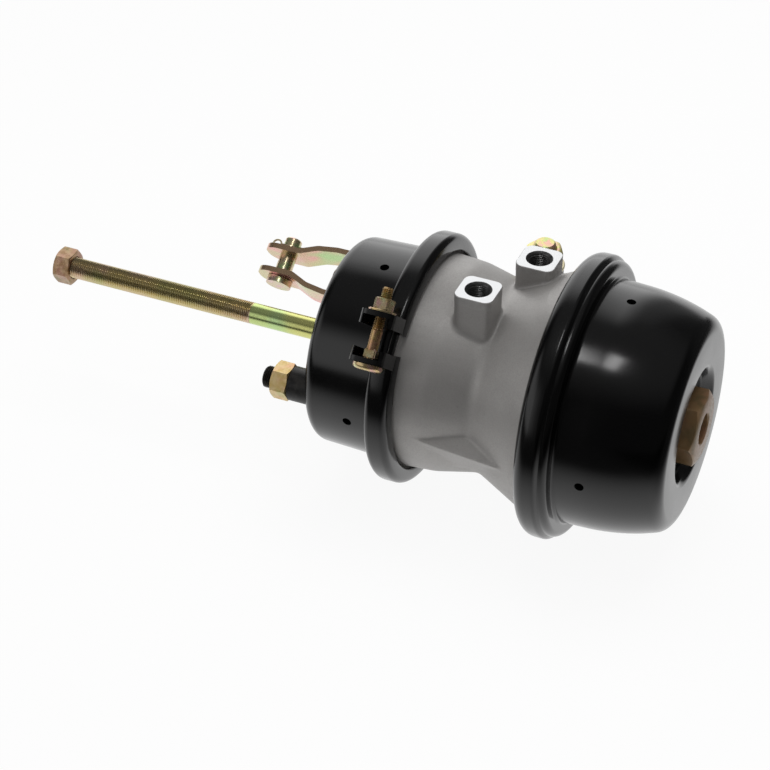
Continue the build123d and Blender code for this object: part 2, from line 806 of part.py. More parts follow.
# ---- clevis screwed on the far stud ----
pin_turn = radians(clevis_angle)
pin_way = Vector(0, cos(pin_turn), sin(pin_turn))
clevis_section = radial_plane(clevis_angle, (0, stud_y, stud_z))
clevis_base_x = -shoulder_reach - body_gap - clevis_t / 2
clevis_arm = (
    (clevis_tip_x, clevis_tip_half),
    (clevis_neck_x, clevis_tip_half),
    (clevis_shoulder_x, clevis_shoulder_half),
    (clevis_bow_x, clevis_base_half),
    (clevis_base_x, clevis_base_half),
)
with BuildPart() as clevis:
    with BuildSketch(clevis_section):
        with BuildLine():
            FilletPolyline(
                *clevis_arm,
                *[(x, -half) for x, half in reversed(clevis_arm)],
                radius=(*clevis_bends, *reversed(clevis_bends)),
            )
        trace(line_width=clevis_t)
    extrude(amount=clevis_width / 2, both=True)
    corners = clevis.edges().filter_by(Axis((0, 0, 0), pin_way)).group_by(Axis.X)[0]
    fillet(corners, clevis_tip_r)
    with BuildSketch(cross_plane(clevis_base_x - clevis_t, stud_y, stud_z)):
        Circle(thread_r + running_gap)
    extrude(amount=2 * clevis_t, mode=Mode.SUBTRACT)
    with BuildSketch(Plane(origin=(clevis_pin_x, stud_y, stud_z), z_dir=pin_way)):
        Circle(clevis_pin_r + running_gap)
    extrude(amount=clevis_base_half + clevis_t, both=True, mode=Mode.SUBTRACT)
save(clevis.part, "clevis")

# ---- clevis pin with its washer and cotter pin ----
pin_middle = Plane(origin=(clevis_pin_x, stud_y, stud_z), x_dir=(1, 0, 0), z_dir=pin_way)
pin_seat = clevis_tip_half + clevis_t / 2 + body_gap
cotter_s = pin_seat + clevis_washer_t + body_gap + cotter_r
cotter_middle = pin_middle.offset(cotter_s).origin
with BuildPart() as clevis_pin:
    with BuildSketch(pin_middle.offset(-pin_seat)):
        Circle(clevis_pin_head_r)
    extrude(amount=-clevis_pin_head_t)
    with BuildSketch(pin_middle.offset(-pin_seat)):
        Circle(clevis_pin_r)
    extrude(amount=pin_seat + cotter_s + clevis_pin_reach)
    chamfer(clevis_pin.edges().filter_by(GeomType.CIRCLE).sort_by(Axis.Z)[-1], 1)
    with BuildSketch(Plane(origin=cotter_middle, z_dir=(1, 0, 0))):
        Circle(cotter_r + seat_gap)
    extrude(amount=2 * clevis_pin_r, both=True, mode=Mode.SUBTRACT)
save(clevis_pin.part, "clevis_pin")

with BuildPart() as clevis_washer:
    with BuildSketch(pin_middle.offset(pin_seat)):
        Circle(clevis_pin_head_r)
        Circle(clevis_pin_r + seat_gap, mode=Mode.SUBTRACT)
    extrude(amount=clevis_washer_t)
save(clevis_washer.part, "clevis_washer")

with BuildPart() as cotter_pin:
    with BuildSketch(Plane(origin=cotter_middle, z_dir=(1, 0, 0))):
        Circle(cotter_r)
    extrude(amount=cotter_leg, both=True)
    eye_middle = cotter_middle - Vector(cotter_leg + cotter_eye_r, 0, 0)
    with Locations(Plane(origin=eye_middle, x_dir=(1, 0, 0), z_dir=pin_way)):
        Torus(cotter_eye_r, cotter_r)
save(cotter_pin.part, "cotter_pin")
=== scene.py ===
import math

import bmesh
import bpy
from mathutils import Matrix, Vector


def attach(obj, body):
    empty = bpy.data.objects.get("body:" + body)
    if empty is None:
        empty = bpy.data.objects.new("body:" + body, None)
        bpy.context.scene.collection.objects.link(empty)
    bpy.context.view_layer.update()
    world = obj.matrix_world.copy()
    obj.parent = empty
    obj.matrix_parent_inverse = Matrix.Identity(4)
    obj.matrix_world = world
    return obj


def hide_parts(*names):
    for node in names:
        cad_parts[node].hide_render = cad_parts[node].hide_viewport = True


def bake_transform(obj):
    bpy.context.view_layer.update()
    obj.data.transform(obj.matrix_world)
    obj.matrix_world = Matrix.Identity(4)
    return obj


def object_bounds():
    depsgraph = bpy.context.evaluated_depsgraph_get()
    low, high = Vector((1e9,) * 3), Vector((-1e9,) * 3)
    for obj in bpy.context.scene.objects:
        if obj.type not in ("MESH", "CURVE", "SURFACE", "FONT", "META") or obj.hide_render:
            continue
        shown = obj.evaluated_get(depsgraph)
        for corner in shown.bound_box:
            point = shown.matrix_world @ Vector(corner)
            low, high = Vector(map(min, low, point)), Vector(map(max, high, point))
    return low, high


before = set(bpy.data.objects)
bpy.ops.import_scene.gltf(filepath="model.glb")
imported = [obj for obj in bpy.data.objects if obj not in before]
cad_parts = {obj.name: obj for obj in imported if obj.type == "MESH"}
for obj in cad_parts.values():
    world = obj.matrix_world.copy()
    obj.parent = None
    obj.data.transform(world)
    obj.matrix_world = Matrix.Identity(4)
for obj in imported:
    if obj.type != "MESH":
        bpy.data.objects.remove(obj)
cad_low, cad_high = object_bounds()
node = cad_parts

# The object's frame: X is the chamber's axis with the push rod towards -X, x = 0 is the mounting
# face, +Z is up. Sizes below are in millimetres. A radius is measured from the X axis, and an angle
# about it from +Y towards +Z.
MM = 0.001
CREASE, HEX_CREASE, WIRE_CREASE = 34, 28, 60

# ------ shaping


def eased(points, radii, steps=7):
    """The line through these points, with its inner corners rounded to these radii."""
    points = [Vector(p) for p in points]
    line = [points[0]]
    for before, corner, after, radius in zip(points, points[1:], points[2:], radii):
        to_before = (before - corner).normalized()
        to_after = (after - corner).normalized()
        half = math.acos(max(-1, min(1, to_before.dot(to_after)))) / 2
        reach = radius / math.tan(half)
        centre = corner + (to_before + to_after).normalized() * radius / math.sin(half)
        spoke = corner + to_before * reach - centre
        last = corner + to_after * reach - centre
        turn = math.atan2(spoke.x * last.y - spoke.y * last.x, spoke.dot(last))
        for i in range(steps + 1):
            line.append(centre + Matrix.Rotation(turn * i / steps, 2) @ spoke)
    line.append(points[-1])
    return line


def thickened(line, thickness, end_steps=5):
    """The closed outline of a sheet that follows this line, with rounded edges."""
    half = thickness / 2
    sides = []
    for i, point in enumerate(line):
        along = (line[min(i + 1, len(line) - 1)] - line[max(i - 1, 0)]).normalized()
        sides.append(Vector((-along.y, along.x)) * half)
    turns = [Matrix.Rotation(-math.pi * i / end_steps, 2) for i in range(1, end_steps)]
    outline = [p + s for p, s in zip(line, sides)]
    outline += [line[-1] + turn @ sides[-1] for turn in turns]
    outline += [p - s for p, s in reversed(list(zip(line, sides)))]
    return outline + [line[0] - turn @ sides[0] for turn in turns]


def add_object(name, data):
    obj = bpy.data.objects.new(name, data)
    bpy.context.scene.collection.objects.link(obj)
    return obj


def mesh_object(name, shape, crease=CREASE):
    """A new object from a bmesh, smooth except along edges sharper than crease."""
    bmesh.ops.remove_doubles(shape, verts=shape.verts, dist=1e-7)
    bmesh.ops.recalc_face_normals(shape, faces=shape.faces)
    mesh = bpy.data.meshes.new(name)
    shape.to_mesh(mesh)
    shape.free()
    mesh.shade_smooth()
    mesh.set_sharp_from_angle(angle=math.radians(crease))
    return add_object(name, mesh)


def turned_shape(outline, start=0.0, arc=360.0, segments=200):
    """A bmesh of a closed outline of (x, radius) turned about the X axis."""
    shape = bmesh.new()
    whole = arc >= 360
    rings = []
    for i in range(segments if whole else segments + 1):
        angle = math.radians(start + arc * i / segments)
        way = Vector((0, math.cos(angle), math.sin(angle)))
        rings.append([shape.verts.new((Vector((x, 0, 0)) + way * r) * MM) for x, r in outline])
    count = len(outline)
    for i in range(segments):
        here, there = rings[i], rings[(i + 1) % len(rings)]
        for k in range(count):
            corners = (here[k], here[(k + 1) % count], there[(k + 1) % count], there[k])
            shape.faces.new(corners)
    if not whole:
        shape.faces.new(rings[0])
        shape.faces.new(rings[-1])
    return shape


def turned(name, outline, **arc):
    return mesh_object(name, turned_shape(outline, **arc))


def standing(origin, way, across=None):
    """Matrix that puts a piece made along +Z at origin, along way, with its +X towards across."""
    way = Vector(way).normalized()
    across = Vector(across) if across else way.orthogonal()
    across = (across - way * across.dot(way)).normalized()
    turn = Matrix((across, way.cross(across), way)).transposed().to_4x4()
    return Matrix.Translation(Vector(origin) * MM) @ turn


def ring_stack(rings, tube=False):
    """A bmesh from rings of (x, y, z) points in millimetres: capped at both ends, or closed as a tube."""
    shape = bmesh.new()
    made = [[shape.verts.new(Vector(p) * MM) for p in ring] for ring in rings]
    following = made[1:] + made[:1] if tube else made[1:]
    for here, there in zip(made, following):
        for k in range(len(here)):
            shape.faces.new((here[k], here[k - 1], there[k - 1], there[k]))
    if not tube:
        shape.faces.new(made[0])
        shape.faces.new(made[-1])
    return shape


THREAD_DEPTH = 0.58
CHAMFER_SLOPE = 1.2


def at_angle(radius, angle, z):
    return radius * math.cos(angle), radius * math.sin(angle), z


def round_ring(radius, z, segments=48):
    return [at_angle(radius, 2 * math.pi * k / segments, z) for k in range(segments)]


def round_rings(pairs, segments=48):
    """Rings at these (radius, height) pairs."""
    return [round_ring(radius, z, segments) for radius, z in pairs]


def threaded_rings(radius, start, end, pitch, chamfer=1.4, segments=32, per_turn=6):
    """Rings of an outside thread that runs out at its start and is chamfered at its end."""
    depth = THREAD_DEPTH * pitch
    count = max(2, round(abs(end - start) / pitch * per_turn))
    rings = []
    for i in range(count + 1):
        z = start + (end - start) * i / count
        from_start = abs(z - start) / pitch
        from_end = abs(end - z)
        ring = []
        for k in range(segments):
            phase = z / pitch - k / segments
            groove = depth * (0.5 - 0.5 * math.cos(2 * math.pi * phase)) * min(1, from_start)
            r = min(radius - groove, radius - chamfer + from_end * CHAMFER_SLOPE)
            ring.append(at_angle(r, 2 * math.pi * k / segments, z))
        rings.append(ring)
    return rings


def hex_radius(angle, flats):
    """Distance from a hexagon's middle to its edge in this direction, with a corner at angle 0."""
    return flats / 2 / math.cos((angle % (math.pi / 3)) - math.pi / 6)


HEX_SEGMENTS = 60
HEX_FACE = 0.96
HEX_SLOPE = 0.5
BORE_MOUTH = 0.9


def hex_rings(flats, low, high, bore=0.0, both=True):
    """Rings of a hexagonal nut or head, from its foot up, chamfered above and, if both, below."""
    face_r = flats / 2 * HEX_FACE

    def edge(z, slope):
        ring = []
        for k in range(HEX_SEGMENTS):
            angle = 2 * math.pi * k / HEX_SEGMENTS
            r = hex_radius(angle, flats)
            ring.append(at_angle(r, angle, z + slope * (r - face_r)))
        return ring

    foot = [(bore, low + 1), (bore + BORE_MOUTH, low)] if bore else []
    top = [(bore + BORE_MOUTH, high), (bore, high - 1)] if bore else []
    edges = [edge(low, HEX_SLOPE if both else 0), edge(high, -HEX_SLOPE)]
    foot = round_rings([*foot, (face_r, low)], HEX_SEGMENTS)
    return foot + edges + round_rings([(face_r, high), *top], HEX_SEGMENTS)


def solid(name, rings, place, crease=CREASE, tube=False):
    """A piece made along +Z from rings, then put in place."""
    shape = ring_stack(rings, tube)
    bmesh.ops.transform(shape, matrix=place, verts=shape.verts)
    return mesh_object(name, shape, crease)


def nut(name, size, place):
    """A hexagonal nut of this (width across flats, height, bore radius)."""
    flats, height, bore = size
    return solid(name, hex_rings(flats, 0, height, bore), place, HEX_CREASE, tube=True)


def flat_washer(name, radius, thickness, ease, place, crease=CREASE):
    """A washer as a disc with eased edges: what goes through it hides its bore."""
    eased_r = radius - ease
    pairs = [(eased_r, 0), (radius, ease), (radius, thickness - ease), (eased_r, thickness)]
    return solid(name, round_rings(pairs), place, crease)


def eased_block(name, size, ease, place):
    """A block with rounded edges, its middle at the place's origin."""
    shape = bmesh.new()
    bmesh.ops.create_cube(shape, size=MM)
    bmesh.ops.scale(shape, vec=size, verts=shape.verts)
    bmesh.ops.transform(shape, matrix=place, verts=shape.verts)
    bmesh.ops.bevel(shape, geom=shape.edges[:], offset=ease * MM, segments=3, affect="EDGES")
    return mesh_object(name, shape)


def joined(name, parts):
    """One object from several."""
    shape = bmesh.new()
    for part in parts:
        shape.from_mesh(part.data)
        bpy.data.objects.remove(part)
    return mesh_object(name, shape)


def apply_modifiers(obj):
    graph = bpy.context.evaluated_depsgraph_get()
    mesh = bpy.data.meshes.new_from_object(obj.evaluated_get(graph))
    obj.modifiers.clear()
    obj.data = mesh


def carve(obj, tools, operation="DIFFERENCE"):
    """Cuts these tools out of obj, or adds them, and removes them."""
    for tool in tools:
        cut = obj.modifiers.new("carve", "BOOLEAN")
        cut.operation = operation
        cut.solver = "MANIFOLD"
        cut.object = tool
        apply_modifiers(obj)
        bpy.data.objects.remove(tool)


def drill(radius, start, end, segments=48):
    """A cylinder between two points, for cutting a hole."""
    way = Vector(end) - Vector(start)
    return solid("drill", round_rings([(radius, 0), (radius, way.length)], segments), standing(start, way))


def swept(name, path, radius, segments=12):
    """A round wire along a smooth path of points in millimetres."""
    path = [Vector(p) for p in path]
    rings = []
    side = (path[1] - path[0]).orthogonal().normalized()
    for i, point in enumerate(path):
        along = (path[min(i + 1, len(path) - 1)] - path[max(i - 1, 0)]).normalized()
        side = (side - along * side.dot(along)).normalized()
        other = along.cross(side)
        angles = [2 * math.pi * k / segments for k in range(segments)]
        rings.append([tuple(point + (side * math.cos(a) + other * math.sin(a)) * radius) for a in angles])
    return mesh_object(name, ring_stack(rings), WIRE_CREASE)


def smooth(obj):
    """Shades a carved piece smooth again, except along its sharp edges."""
    obj.data.shade_smooth()
    obj.data.set_sharp_from_angle(angle=math.radians(CREASE))


def soften(obj, width, segments=2, angle=30):
    """Rounds an object's sharp edges."""
    bevel = obj.modifiers.new("eased_edges", "BEVEL")
    bevel.width = width * MM
    bevel.segments = segments
    bevel.limit_method = "ANGLE"
    bevel.angle_limit = math.radians(angle)
    bevel.harden_normals = True


# ------ finishes

COLOUR, VALUE = "NodeSocketColor", "NodeSocketFloat"
SKIN_OUTPUTS = [("Colour", COLOUR), ("Roughness", VALUE), ("Height", VALUE)]
shader_groups = {}


def finish_group(name, inputs, outputs=SKIN_OUTPUTS):
    """A new node group with these sockets. Returns it with its input and output nodes."""
    group = bpy.data.node_groups.new(name, "ShaderNodeTree")
    for label, kind, value in inputs:
        socket = group.interface.new_socket(label, in_out="INPUT", socket_type=kind)
        socket.default_value = value
    for label, kind in outputs:
        group.interface.new_socket(label, in_out="OUTPUT", socket_type=kind)
    shader_groups[name] = group
    return group, group.nodes.new("NodeGroupInput"), group.nodes.new("NodeGroupOutput")


def feed(tree, value, socket):
    """Sets a socket to a plain value, or links it to another socket."""
    if isinstance(value, bpy.types.NodeSocket):
        tree.links.new(value, socket)
    else:
        socket.default_value = value


def noise(tree, scale, detail=3.0, roughness=0.55, stretch=None, seed=0.0):
    """Noise over the object's own coordinates."""
    where = tree.nodes.new("ShaderNodeTexCoord")
    texture = tree.nodes.new("ShaderNodeTexNoise")
    texture.noise_dimensions = "4D"
    for label, value in (("W", seed), ("Detail", detail), ("Roughness", roughness)):
        texture.inputs[label].default_value = value
    feed(tree, scale, texture.inputs["Scale"])
    source = where.outputs["Object"]
    if stretch:
        mapping = tree.nodes.new("ShaderNodeMapping")
        mapping.inputs["Scale"].default_value = stretch
        tree.links.new(source, mapping.inputs["Vector"])
        source = mapping.outputs["Vector"]
    tree.links.new(source, texture.inputs["Vector"])
    return texture.outputs["Fac"]


def spread(tree, value, low, high, to_low=0.0, to_high=1.0):
    """Turns the range from low to high into to_low to to_high, with smooth ends."""
    step = tree.nodes.new("ShaderNodeMapRange")
    step.interpolation_type = "SMOOTHSTEP"
    for label, bound in (("From Min", low), ("From Max", high), ("To Min", to_low), ("To Max", to_high)):
        step.inputs[label].default_value = bound
    tree.links.new(value, step.inputs["Value"])
    return step.outputs["Result"]


def mix_colour(tree, factor, first, second):
    mix = tree.nodes.new("ShaderNodeMix")
    mix.data_type = "RGBA"
    for socket, value in (("Factor_Float", factor), ("A_Color", first), ("B_Color", second)):
        feed(tree, value, next(s for s in mix.inputs if s.identifier == socket))
    return next(s for s in mix.outputs if s.identifier == "Result_Color")


def combine(tree, first, second, operation="ADD"):
    """One value worked out from two."""
    step = tree.nodes.new("ShaderNodeMath")
    step.operation = operation
    feed(tree, first, step.inputs[0])
    feed(tree, second, step.inputs[1])
    return step.outputs[0]


def product(tree, first, *others):
    """All of these values multiplied."""
    for other in others:
        first = combine(tree, first, other, "MULTIPLY")
    return first


def put_out(group, result, *sources):
    """Links these to the group's outputs, in their order."""
    for source, socket in zip(sources, result.inputs):
        group.links.new(source, socket)


def make_paint_skin():
    """Sprayed enamel: faint orange peel, slow tone changes and fine dust."""
    group, given, result = finish_group(
        "paint_skin",
        [
            ("Colour", COLOUR, (0.01, 0.01, 0.01, 1)),
            ("Dust Colour", COLOUR, (0.1, 0.1, 0.1, 1)),
            ("Dust", VALUE, 0.3),
            ("Peel Scale", VALUE, 500.0),
        ],
    )
    peel = noise(group, given.outputs["Peel Scale"], 1.5)
    tone = noise(group, 22.0, 4.0, seed=2.0)
    specks = spread(group, noise(group, 2300.0, 1.0, seed=4.0), 0.68, 0.8)
    dust = product(group, specks, given.outputs["Dust"])
    colour = mix_colour(group, dust, given.outputs["Colour"], given.outputs["Dust Colour"])
    rough = combine(group, spread(group, tone, 0.3, 0.7, 0.15, 0.21), product(group, dust, 0.4))
    put_out(group, result, colour, rough, peel)


def make_cast_skin():
    """Shot-blasted die casting: grain, slow mottling, flow marks and small pits."""
    group, given, result = finish_group(
        "cast_skin",
        [
            ("Colour", COLOUR, (0.4, 0.4, 0.41, 1)),
            ("Stain", COLOUR, (0.25, 0.25, 0.26, 1)),
            ("Grain Scale", VALUE, 1200.0),
        ],
    )
    grain = noise(group, given.outputs["Grain Scale"], 2.0)
    mottle = noise(group, 28.0, 5.0, 0.6, seed=3.0)
    flow = noise(group, 9.0, 3.0, stretch=(0.5, 1, 1), seed=6.0)
    pits = spread(group, noise(group, 620.0, 0.5, seed=9.0), 0.68, 0.76)
    slow = spread(group, mottle, 0.35, 0.7, 0.0, 0.35)
    tone = combine(group, slow, spread(group, flow, 0.4, 0.7, 0.0, 0.3))
    tone = combine(group, tone, product(group, pits, 0.3))
    fine = combine(group, spread(group, grain, 0.3, 0.7, -0.14, 0.14), tone)
    colour = mix_colour(group, fine, given.outputs["Colour"], given.outputs["Stain"])
    rough = spread(group, grain, 0.3, 0.7, 0.42, 0.56)
    height = combine(group, grain, product(group, pits, -0.9))
    put_out(group, result, colour, rough, height)


def make_plating():
    """Yellow chromate over zinc: patches of three tints with a fine grain and small dark stains."""
    group, given, result = finish_group(
        "plating",
        [
            ("Gold", COLOUR, (0.5, 0.35, 0.15, 1)),
            ("Rose", COLOUR, (0.5, 0.25, 0.25, 1)),
            ("Green", COLOUR, (0.25, 0.4, 0.2, 1)),
            ("Patch Scale", VALUE, 60.0),
        ],
    )
    rose = spread(group, noise(group, given.outputs["Patch Scale"], 2.0, seed=1.0), 0.46, 0.62)
    green = spread(group, noise(group, given.outputs["Patch Scale"], 2.0, seed=7.0), 0.5, 0.66)
    tinted = mix_colour(group, rose, given.outputs["Gold"], given.outputs["Rose"])
    tinted = mix_colour(group, green, tinted, given.outputs["Green"])
    grain = noise(group, 900.0, 2.0, seed=5.0)
    stained = mix_colour(group, spread(group, grain, 0.6, 0.8, 0.0, 0.16), tinted, (0.09, 0.075, 0.05, 1))
    put_out(group, result, stained, spread(group, grain, 0.3, 0.7, 0.2, 0.34), grain)


def make_edge_wear():
    """Mask of a piece's outer edges, broken up by noise."""
    group, given, result = finish_group("edge_wear", [("Amount", VALUE, 1.0)], [("Mask", VALUE)])
    geometry = group.nodes.new("ShaderNodeNewGeometry")
    edges = spread(group, geometry.outputs["Pointiness"], 0.51, 0.6)
    broken = spread(group, noise(group, 240.0, 3.0, seed=11.0), 0.35, 0.65)
    put_out(group, result, product(group, edges, broken, given.outputs["Amount"]))


make_paint_skin()
make_cast_skin()
make_plating()
make_edge_wear()


def finish(name, skin_name, values, metallic, bump, wear=None, specular=0.5, rougher=0.0, cut_edge=None):
    """A material from one skin. bump is (strength, depth in millimetres), wear is (amount, colour) and
    cut_edge is (direction of its normals, colour). A colour is (red, green, blue).
    """
    material = bpy.data.materials.new(name)
    material.use_nodes = True
    tree = material.node_tree
    shader = tree.nodes["Principled BSDF"]
    shader.inputs["Metallic"].default_value = metallic
    shader.inputs["Specular IOR Level"].default_value = specular
    skin = tree.nodes.new("ShaderNodeGroup")
    skin.node_tree = shader_groups[skin_name]
    for label, value in values.items():
        skin.inputs[label].default_value = value if isinstance(value, (int, float)) else (*value, 1)
    colour = skin.outputs["Colour"]
    if cut_edge:
        way, bare = cut_edge
        where = tree.nodes.new("ShaderNodeTexCoord")
        along = tree.nodes.new("ShaderNodeVectorMath")
        along.operation = "DOT_PRODUCT"
        along.inputs[1].default_value = way
        tree.links.new(where.outputs["Normal"], along.inputs[0])
        facing = combine(tree, along.outputs["Value"], 0.0, "ABSOLUTE")
        colour = mix_colour(tree, spread(tree, facing, 0.6, 0.8), colour, (*bare, 1))
    if wear:
        amount, bare = wear
        edge = tree.nodes.new("ShaderNodeGroup")
        edge.node_tree = shader_groups["edge_wear"]
        edge.inputs["Amount"].default_value = amount
        colour = mix_colour(tree, edge.outputs["Mask"], colour, (*bare, 1))
    tree.links.new(colour, shader.inputs["Base Color"])
    roughness = skin.outputs["Roughness"]
    if rougher:
        roughness = combine(tree, roughness, rougher)
    tree.links.new(roughness, shader.inputs["Roughness"])
    relief = tree.nodes.new("ShaderNodeBump")
    relief.inputs["Strength"].default_value = bump[0]
    relief.inputs["Distance"].default_value = bump[1] * MM
    tree.links.new(skin.outputs["Height"], relief.inputs["Height"])
    tree.links.new(relief.outputs["Normal"], shader.inputs["Normal"])
    return material


def painted(name, colour, dust_colour, dust, peel, *look, **more):
    """A material in the paint skin."""
    values = {"Colour": colour, "Dust Colour": dust_colour, "Dust": dust, "Peel Scale": peel}
    return finish(name, "paint_skin", values, *look, **more)


def cast(name, colour, stain, grain, *look, **more):
    """A material in the cast skin."""
    return finish(name, "cast_skin", {"Colour": colour, "Stain": stain, "Grain Scale": grain}, *look, **more)


def plated(name, gold, rose, green, patches, *look, **more):
    """A material in the plating."""
    values = {"Gold": gold, "Rose": rose, "Green": green, "Patch Scale": patches}
    return finish(name, "plating", values, *look, **more)


# The clevis's pin lies along pin_way, and the cut edges of its strap face along strap_way.
CLEVIS_ANGLE = math.radians(36)
pin_way = Vector((0, math.cos(CLEVIS_ANGLE), math.sin(CLEVIS_ANGLE)))
strap_way = Vector((0, -math.sin(CLEVIS_ANGLE), math.cos(CLEVIS_ANGLE)))

black_enamel = painted(
    "black_enamel", (0.0008, 0.0008, 0.0009), (0.02, 0.02, 0.02), 0.3, 420,
    0.0, (0.05, 0.05), wear=(0.1, (0.03, 0.03, 0.03)),
)
black_stud_coat = painted(
    "black_stud_coat", (0.006, 0.0055, 0.0055), (0.05, 0.045, 0.04), 0.5, 900,
    0.0, (0.2, 0.08), wear=(0.4, (0.05, 0.045, 0.04)), specular=0.35, rougher=0.2,
)
cast_aluminium = cast(
    "cast_aluminium", (0.4, 0.388, 0.377), (0.29, 0.28, 0.27), 1100,
    0.55, (0.3, 0.14), wear=(0.3, (0.5, 0.5, 0.5)),
)
machined_aluminium = cast(
    "machined_aluminium", (0.8, 0.81, 0.82), (0.7, 0.71, 0.72), 2600,
    0.3, (0.06, 0.04), rougher=-0.12,
)
# Painted shade: a dark copy of the machined aluminium for the ports' bores, standing for the shade inside the
# holes.
shaded_bore_aluminium = cast(
    "shaded_bore_aluminium", (0.14, 0.14, 0.14), (0.08, 0.08, 0.08), 2600,
    0.85, (0.1, 0.05), rougher=-0.15,
)
rod_plating = plated(
    "rod_plating", (0.6, 0.5, 0.25), (0.66, 0.5, 0.36), (0.5, 0.48, 0.22), 26,
    0.92, (0.1, 0.05), wear=(0.2, (0.62, 0.54, 0.38)),
)
bright_plating = plated(
    "bright_plating", (0.54, 0.66, 0.26), (0.66, 0.66, 0.24), (0.42, 0.68, 0.36), 16,
    0.92, (0.08, 0.05), rougher=-0.05,
)
tip_nut_plating = plated(
    "tip_nut_plating", (0.27, 0.165, 0.085), (0.3, 0.16, 0.11), (0.21, 0.17, 0.075), 90,
    0.9, (0.12, 0.05), wear=(0.4, (0.62, 0.46, 0.3)),
)
stud_nut_plating = plated(
    "stud_nut_plating", (0.58, 0.42, 0.165), (0.64, 0.38, 0.2), (0.46, 0.42, 0.15), 70,
    0.85, (0.12, 0.05), wear=(0.4, (0.85, 0.7, 0.45)), rougher=0.08,
)
clevis_plating = plated(
    "clevis_plating", (0.66, 0.56, 0.32), (0.84, 0.4, 0.37), (0.44, 0.64, 0.26), 24,
    0.88, (0.12, 0.06), cut_edge=(strap_way, (0.5, 0.34, 0.21)),
)
pin_plating = plated(
    "pin_plating", (0.66, 0.54, 0.34), (0.72, 0.46, 0.44), (0.5, 0.62, 0.3), 120,
    0.88, (0.12, 0.06), wear=(0.4, (0.7, 0.6, 0.45)),
)
clamp_plating = plated(
    "clamp_plating", (0.58, 0.42, 0.2), (0.72, 0.42, 0.38), (0.62, 0.66, 0.36), 130,
    0.88, (0.12, 0.06), wear=(0.5, (0.8, 0.72, 0.5)),
)
shank_plating = plated(
    "shank_plating", (0.46, 0.3, 0.12), (0.5, 0.26, 0.16), (0.36, 0.3, 0.12), 120,
    0.88, (0.12, 0.06), wear=(0.4, (0.62, 0.46, 0.26)),
)
release_plating = plated(
    "release_plating", (0.66, 0.62, 0.24), (0.72, 0.42, 0.34), (0.5, 0.6, 0.24), 150,
    0.85, (0.2, 0.08), wear=(0.5, (0.75, 0.65, 0.35)),
)
washer_zinc = cast(
    "washer_zinc", (0.6, 0.54, 0.36), (0.46, 0.38, 0.22), 2200,
    0.85, (0.15, 0.05), rougher=-0.16,
)
plain_zinc = cast(
    "plain_zinc", (0.55, 0.56, 0.56), (0.42, 0.43, 0.44), 1800,
    0.85, (0.15, 0.06), rougher=-0.12,
)
spring_coat = painted(
    "spring_coat", (0.02, 0.022, 0.025), (0.1, 0.09, 0.08), 0.5, 700,
    0.1, (0.2, 0.08), rougher=0.2,
)
diaphragm_rubber = painted(
    "diaphragm_rubber", (0.012, 0.012, 0.013), (0.06, 0.058, 0.055), 0.7, 1300,
    0.0, (0.3, 0.1), specular=0.3, rougher=0.5,
)
guide_nylon = painted(
    "guide_nylon", (0.012, 0.012, 0.012), (0.06, 0.06, 0.06), 0.4, 900,
    0.0, (0.15, 0.06), rougher=0.35,
)
bush_nylon = painted(
    "bush_nylon", (0.6, 0.57, 0.5), (0.4, 0.37, 0.32), 0.4, 900,
    0.0, (0.15, 0.06), rougher=0.3,
)
plug_coat = plated(
    "plug_coat", (0.21, 0.125, 0.055), (0.24, 0.13, 0.07), (0.15, 0.1, 0.045), 60,
    0.2, (0.25, 0.08), wear=(0.6, (0.42, 0.3, 0.18)), rougher=0.1,
)


def dress(obj, *materials):
    obj.data.materials.clear()
    for material in materials:
        obj.data.materials.append(material)


def keep(name, material, ease=0.0):
    """A CAD node that shows as it is, in its finish."""
    dress(node[name], material)
    if ease:
        soften(node[name], ease)


def stand_in(obj, material, node_name, body="chamber"):
    """A piece that shows in place of this CAD node."""
    dress(obj, material)
    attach(obj, body)
    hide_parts(node_name)


def outward(angle):
    """The direction away from the X axis at this angle."""
    turn = math.radians(angle)
    return Vector((0, math.cos(turn), math.sin(turn)))


# ------ service housing

SHEET = 3.0
VENT_R = 3.3
STUD_SPACING, STUD_ANGLE = 120.65, 4.3
STUD = outward(STUD_ANGLE) * STUD_SPACING / 2
STUD_HOLE_R = 12.57
DRILL_PAST, VENT_DRILL_PAST = 6.0, 20.0
HOUSING_FLANGE = 57.2
HOUSING_VENTS_X, HOUSING_VENTS_R = 35.3, 76
HOUSING_VENT_ANGLES = (97, 190, 277, 10)


def vent_drills(x, angles, radius):
    """Drills for round vent holes through a wall of this radius."""
    drills = []
    for angle in angles:
        start = Vector((x, 0, 0)) + outward(angle) * (radius - VENT_DRILL_PAST)
        drills.append(drill(VENT_R, start, start + outward(angle) * 2 * VENT_DRILL_PAST))
    return drills


flange_mid = HOUSING_FLANGE + SHEET / 2
housing_line = eased([(1.5, 22), (1.5, 74), (flange_mid, 76), (flange_mid, 88.9)], (7.5, 4), steps=10)
housing = turned("service_housing_cup", thickened(housing_line, SHEET))
housing_cuts = vent_drills(HOUSING_VENTS_X, HOUSING_VENT_ANGLES, HOUSING_VENTS_R)
through = Vector((DRILL_PAST, 0, 0))
for side in (-1, 1):
    housing_cuts.append(drill(STUD_HOLE_R, STUD * side - through, STUD * side + through))
carve(housing, housing_cuts)
smooth(housing)
stand_in(housing, black_enamel, "service_housing")

# ------ mounting studs and the near nut

THREAD_R, PITCH = 8, 1.5
NUT_SIZE = (24, 13, 8.06)
FORWARD, REARWARD, ACROSS, UP = (-1, 0, 0), (1, 0, 0), (0, 1, 0), (0, 0, 1)
STUD_FOOT, SHOULDER, STUD_REACH = 4.0, 13.4, 34.4
STUD_R, STUD_CORE_R = 12.5, 8.2
NUT_GAP = 0.1

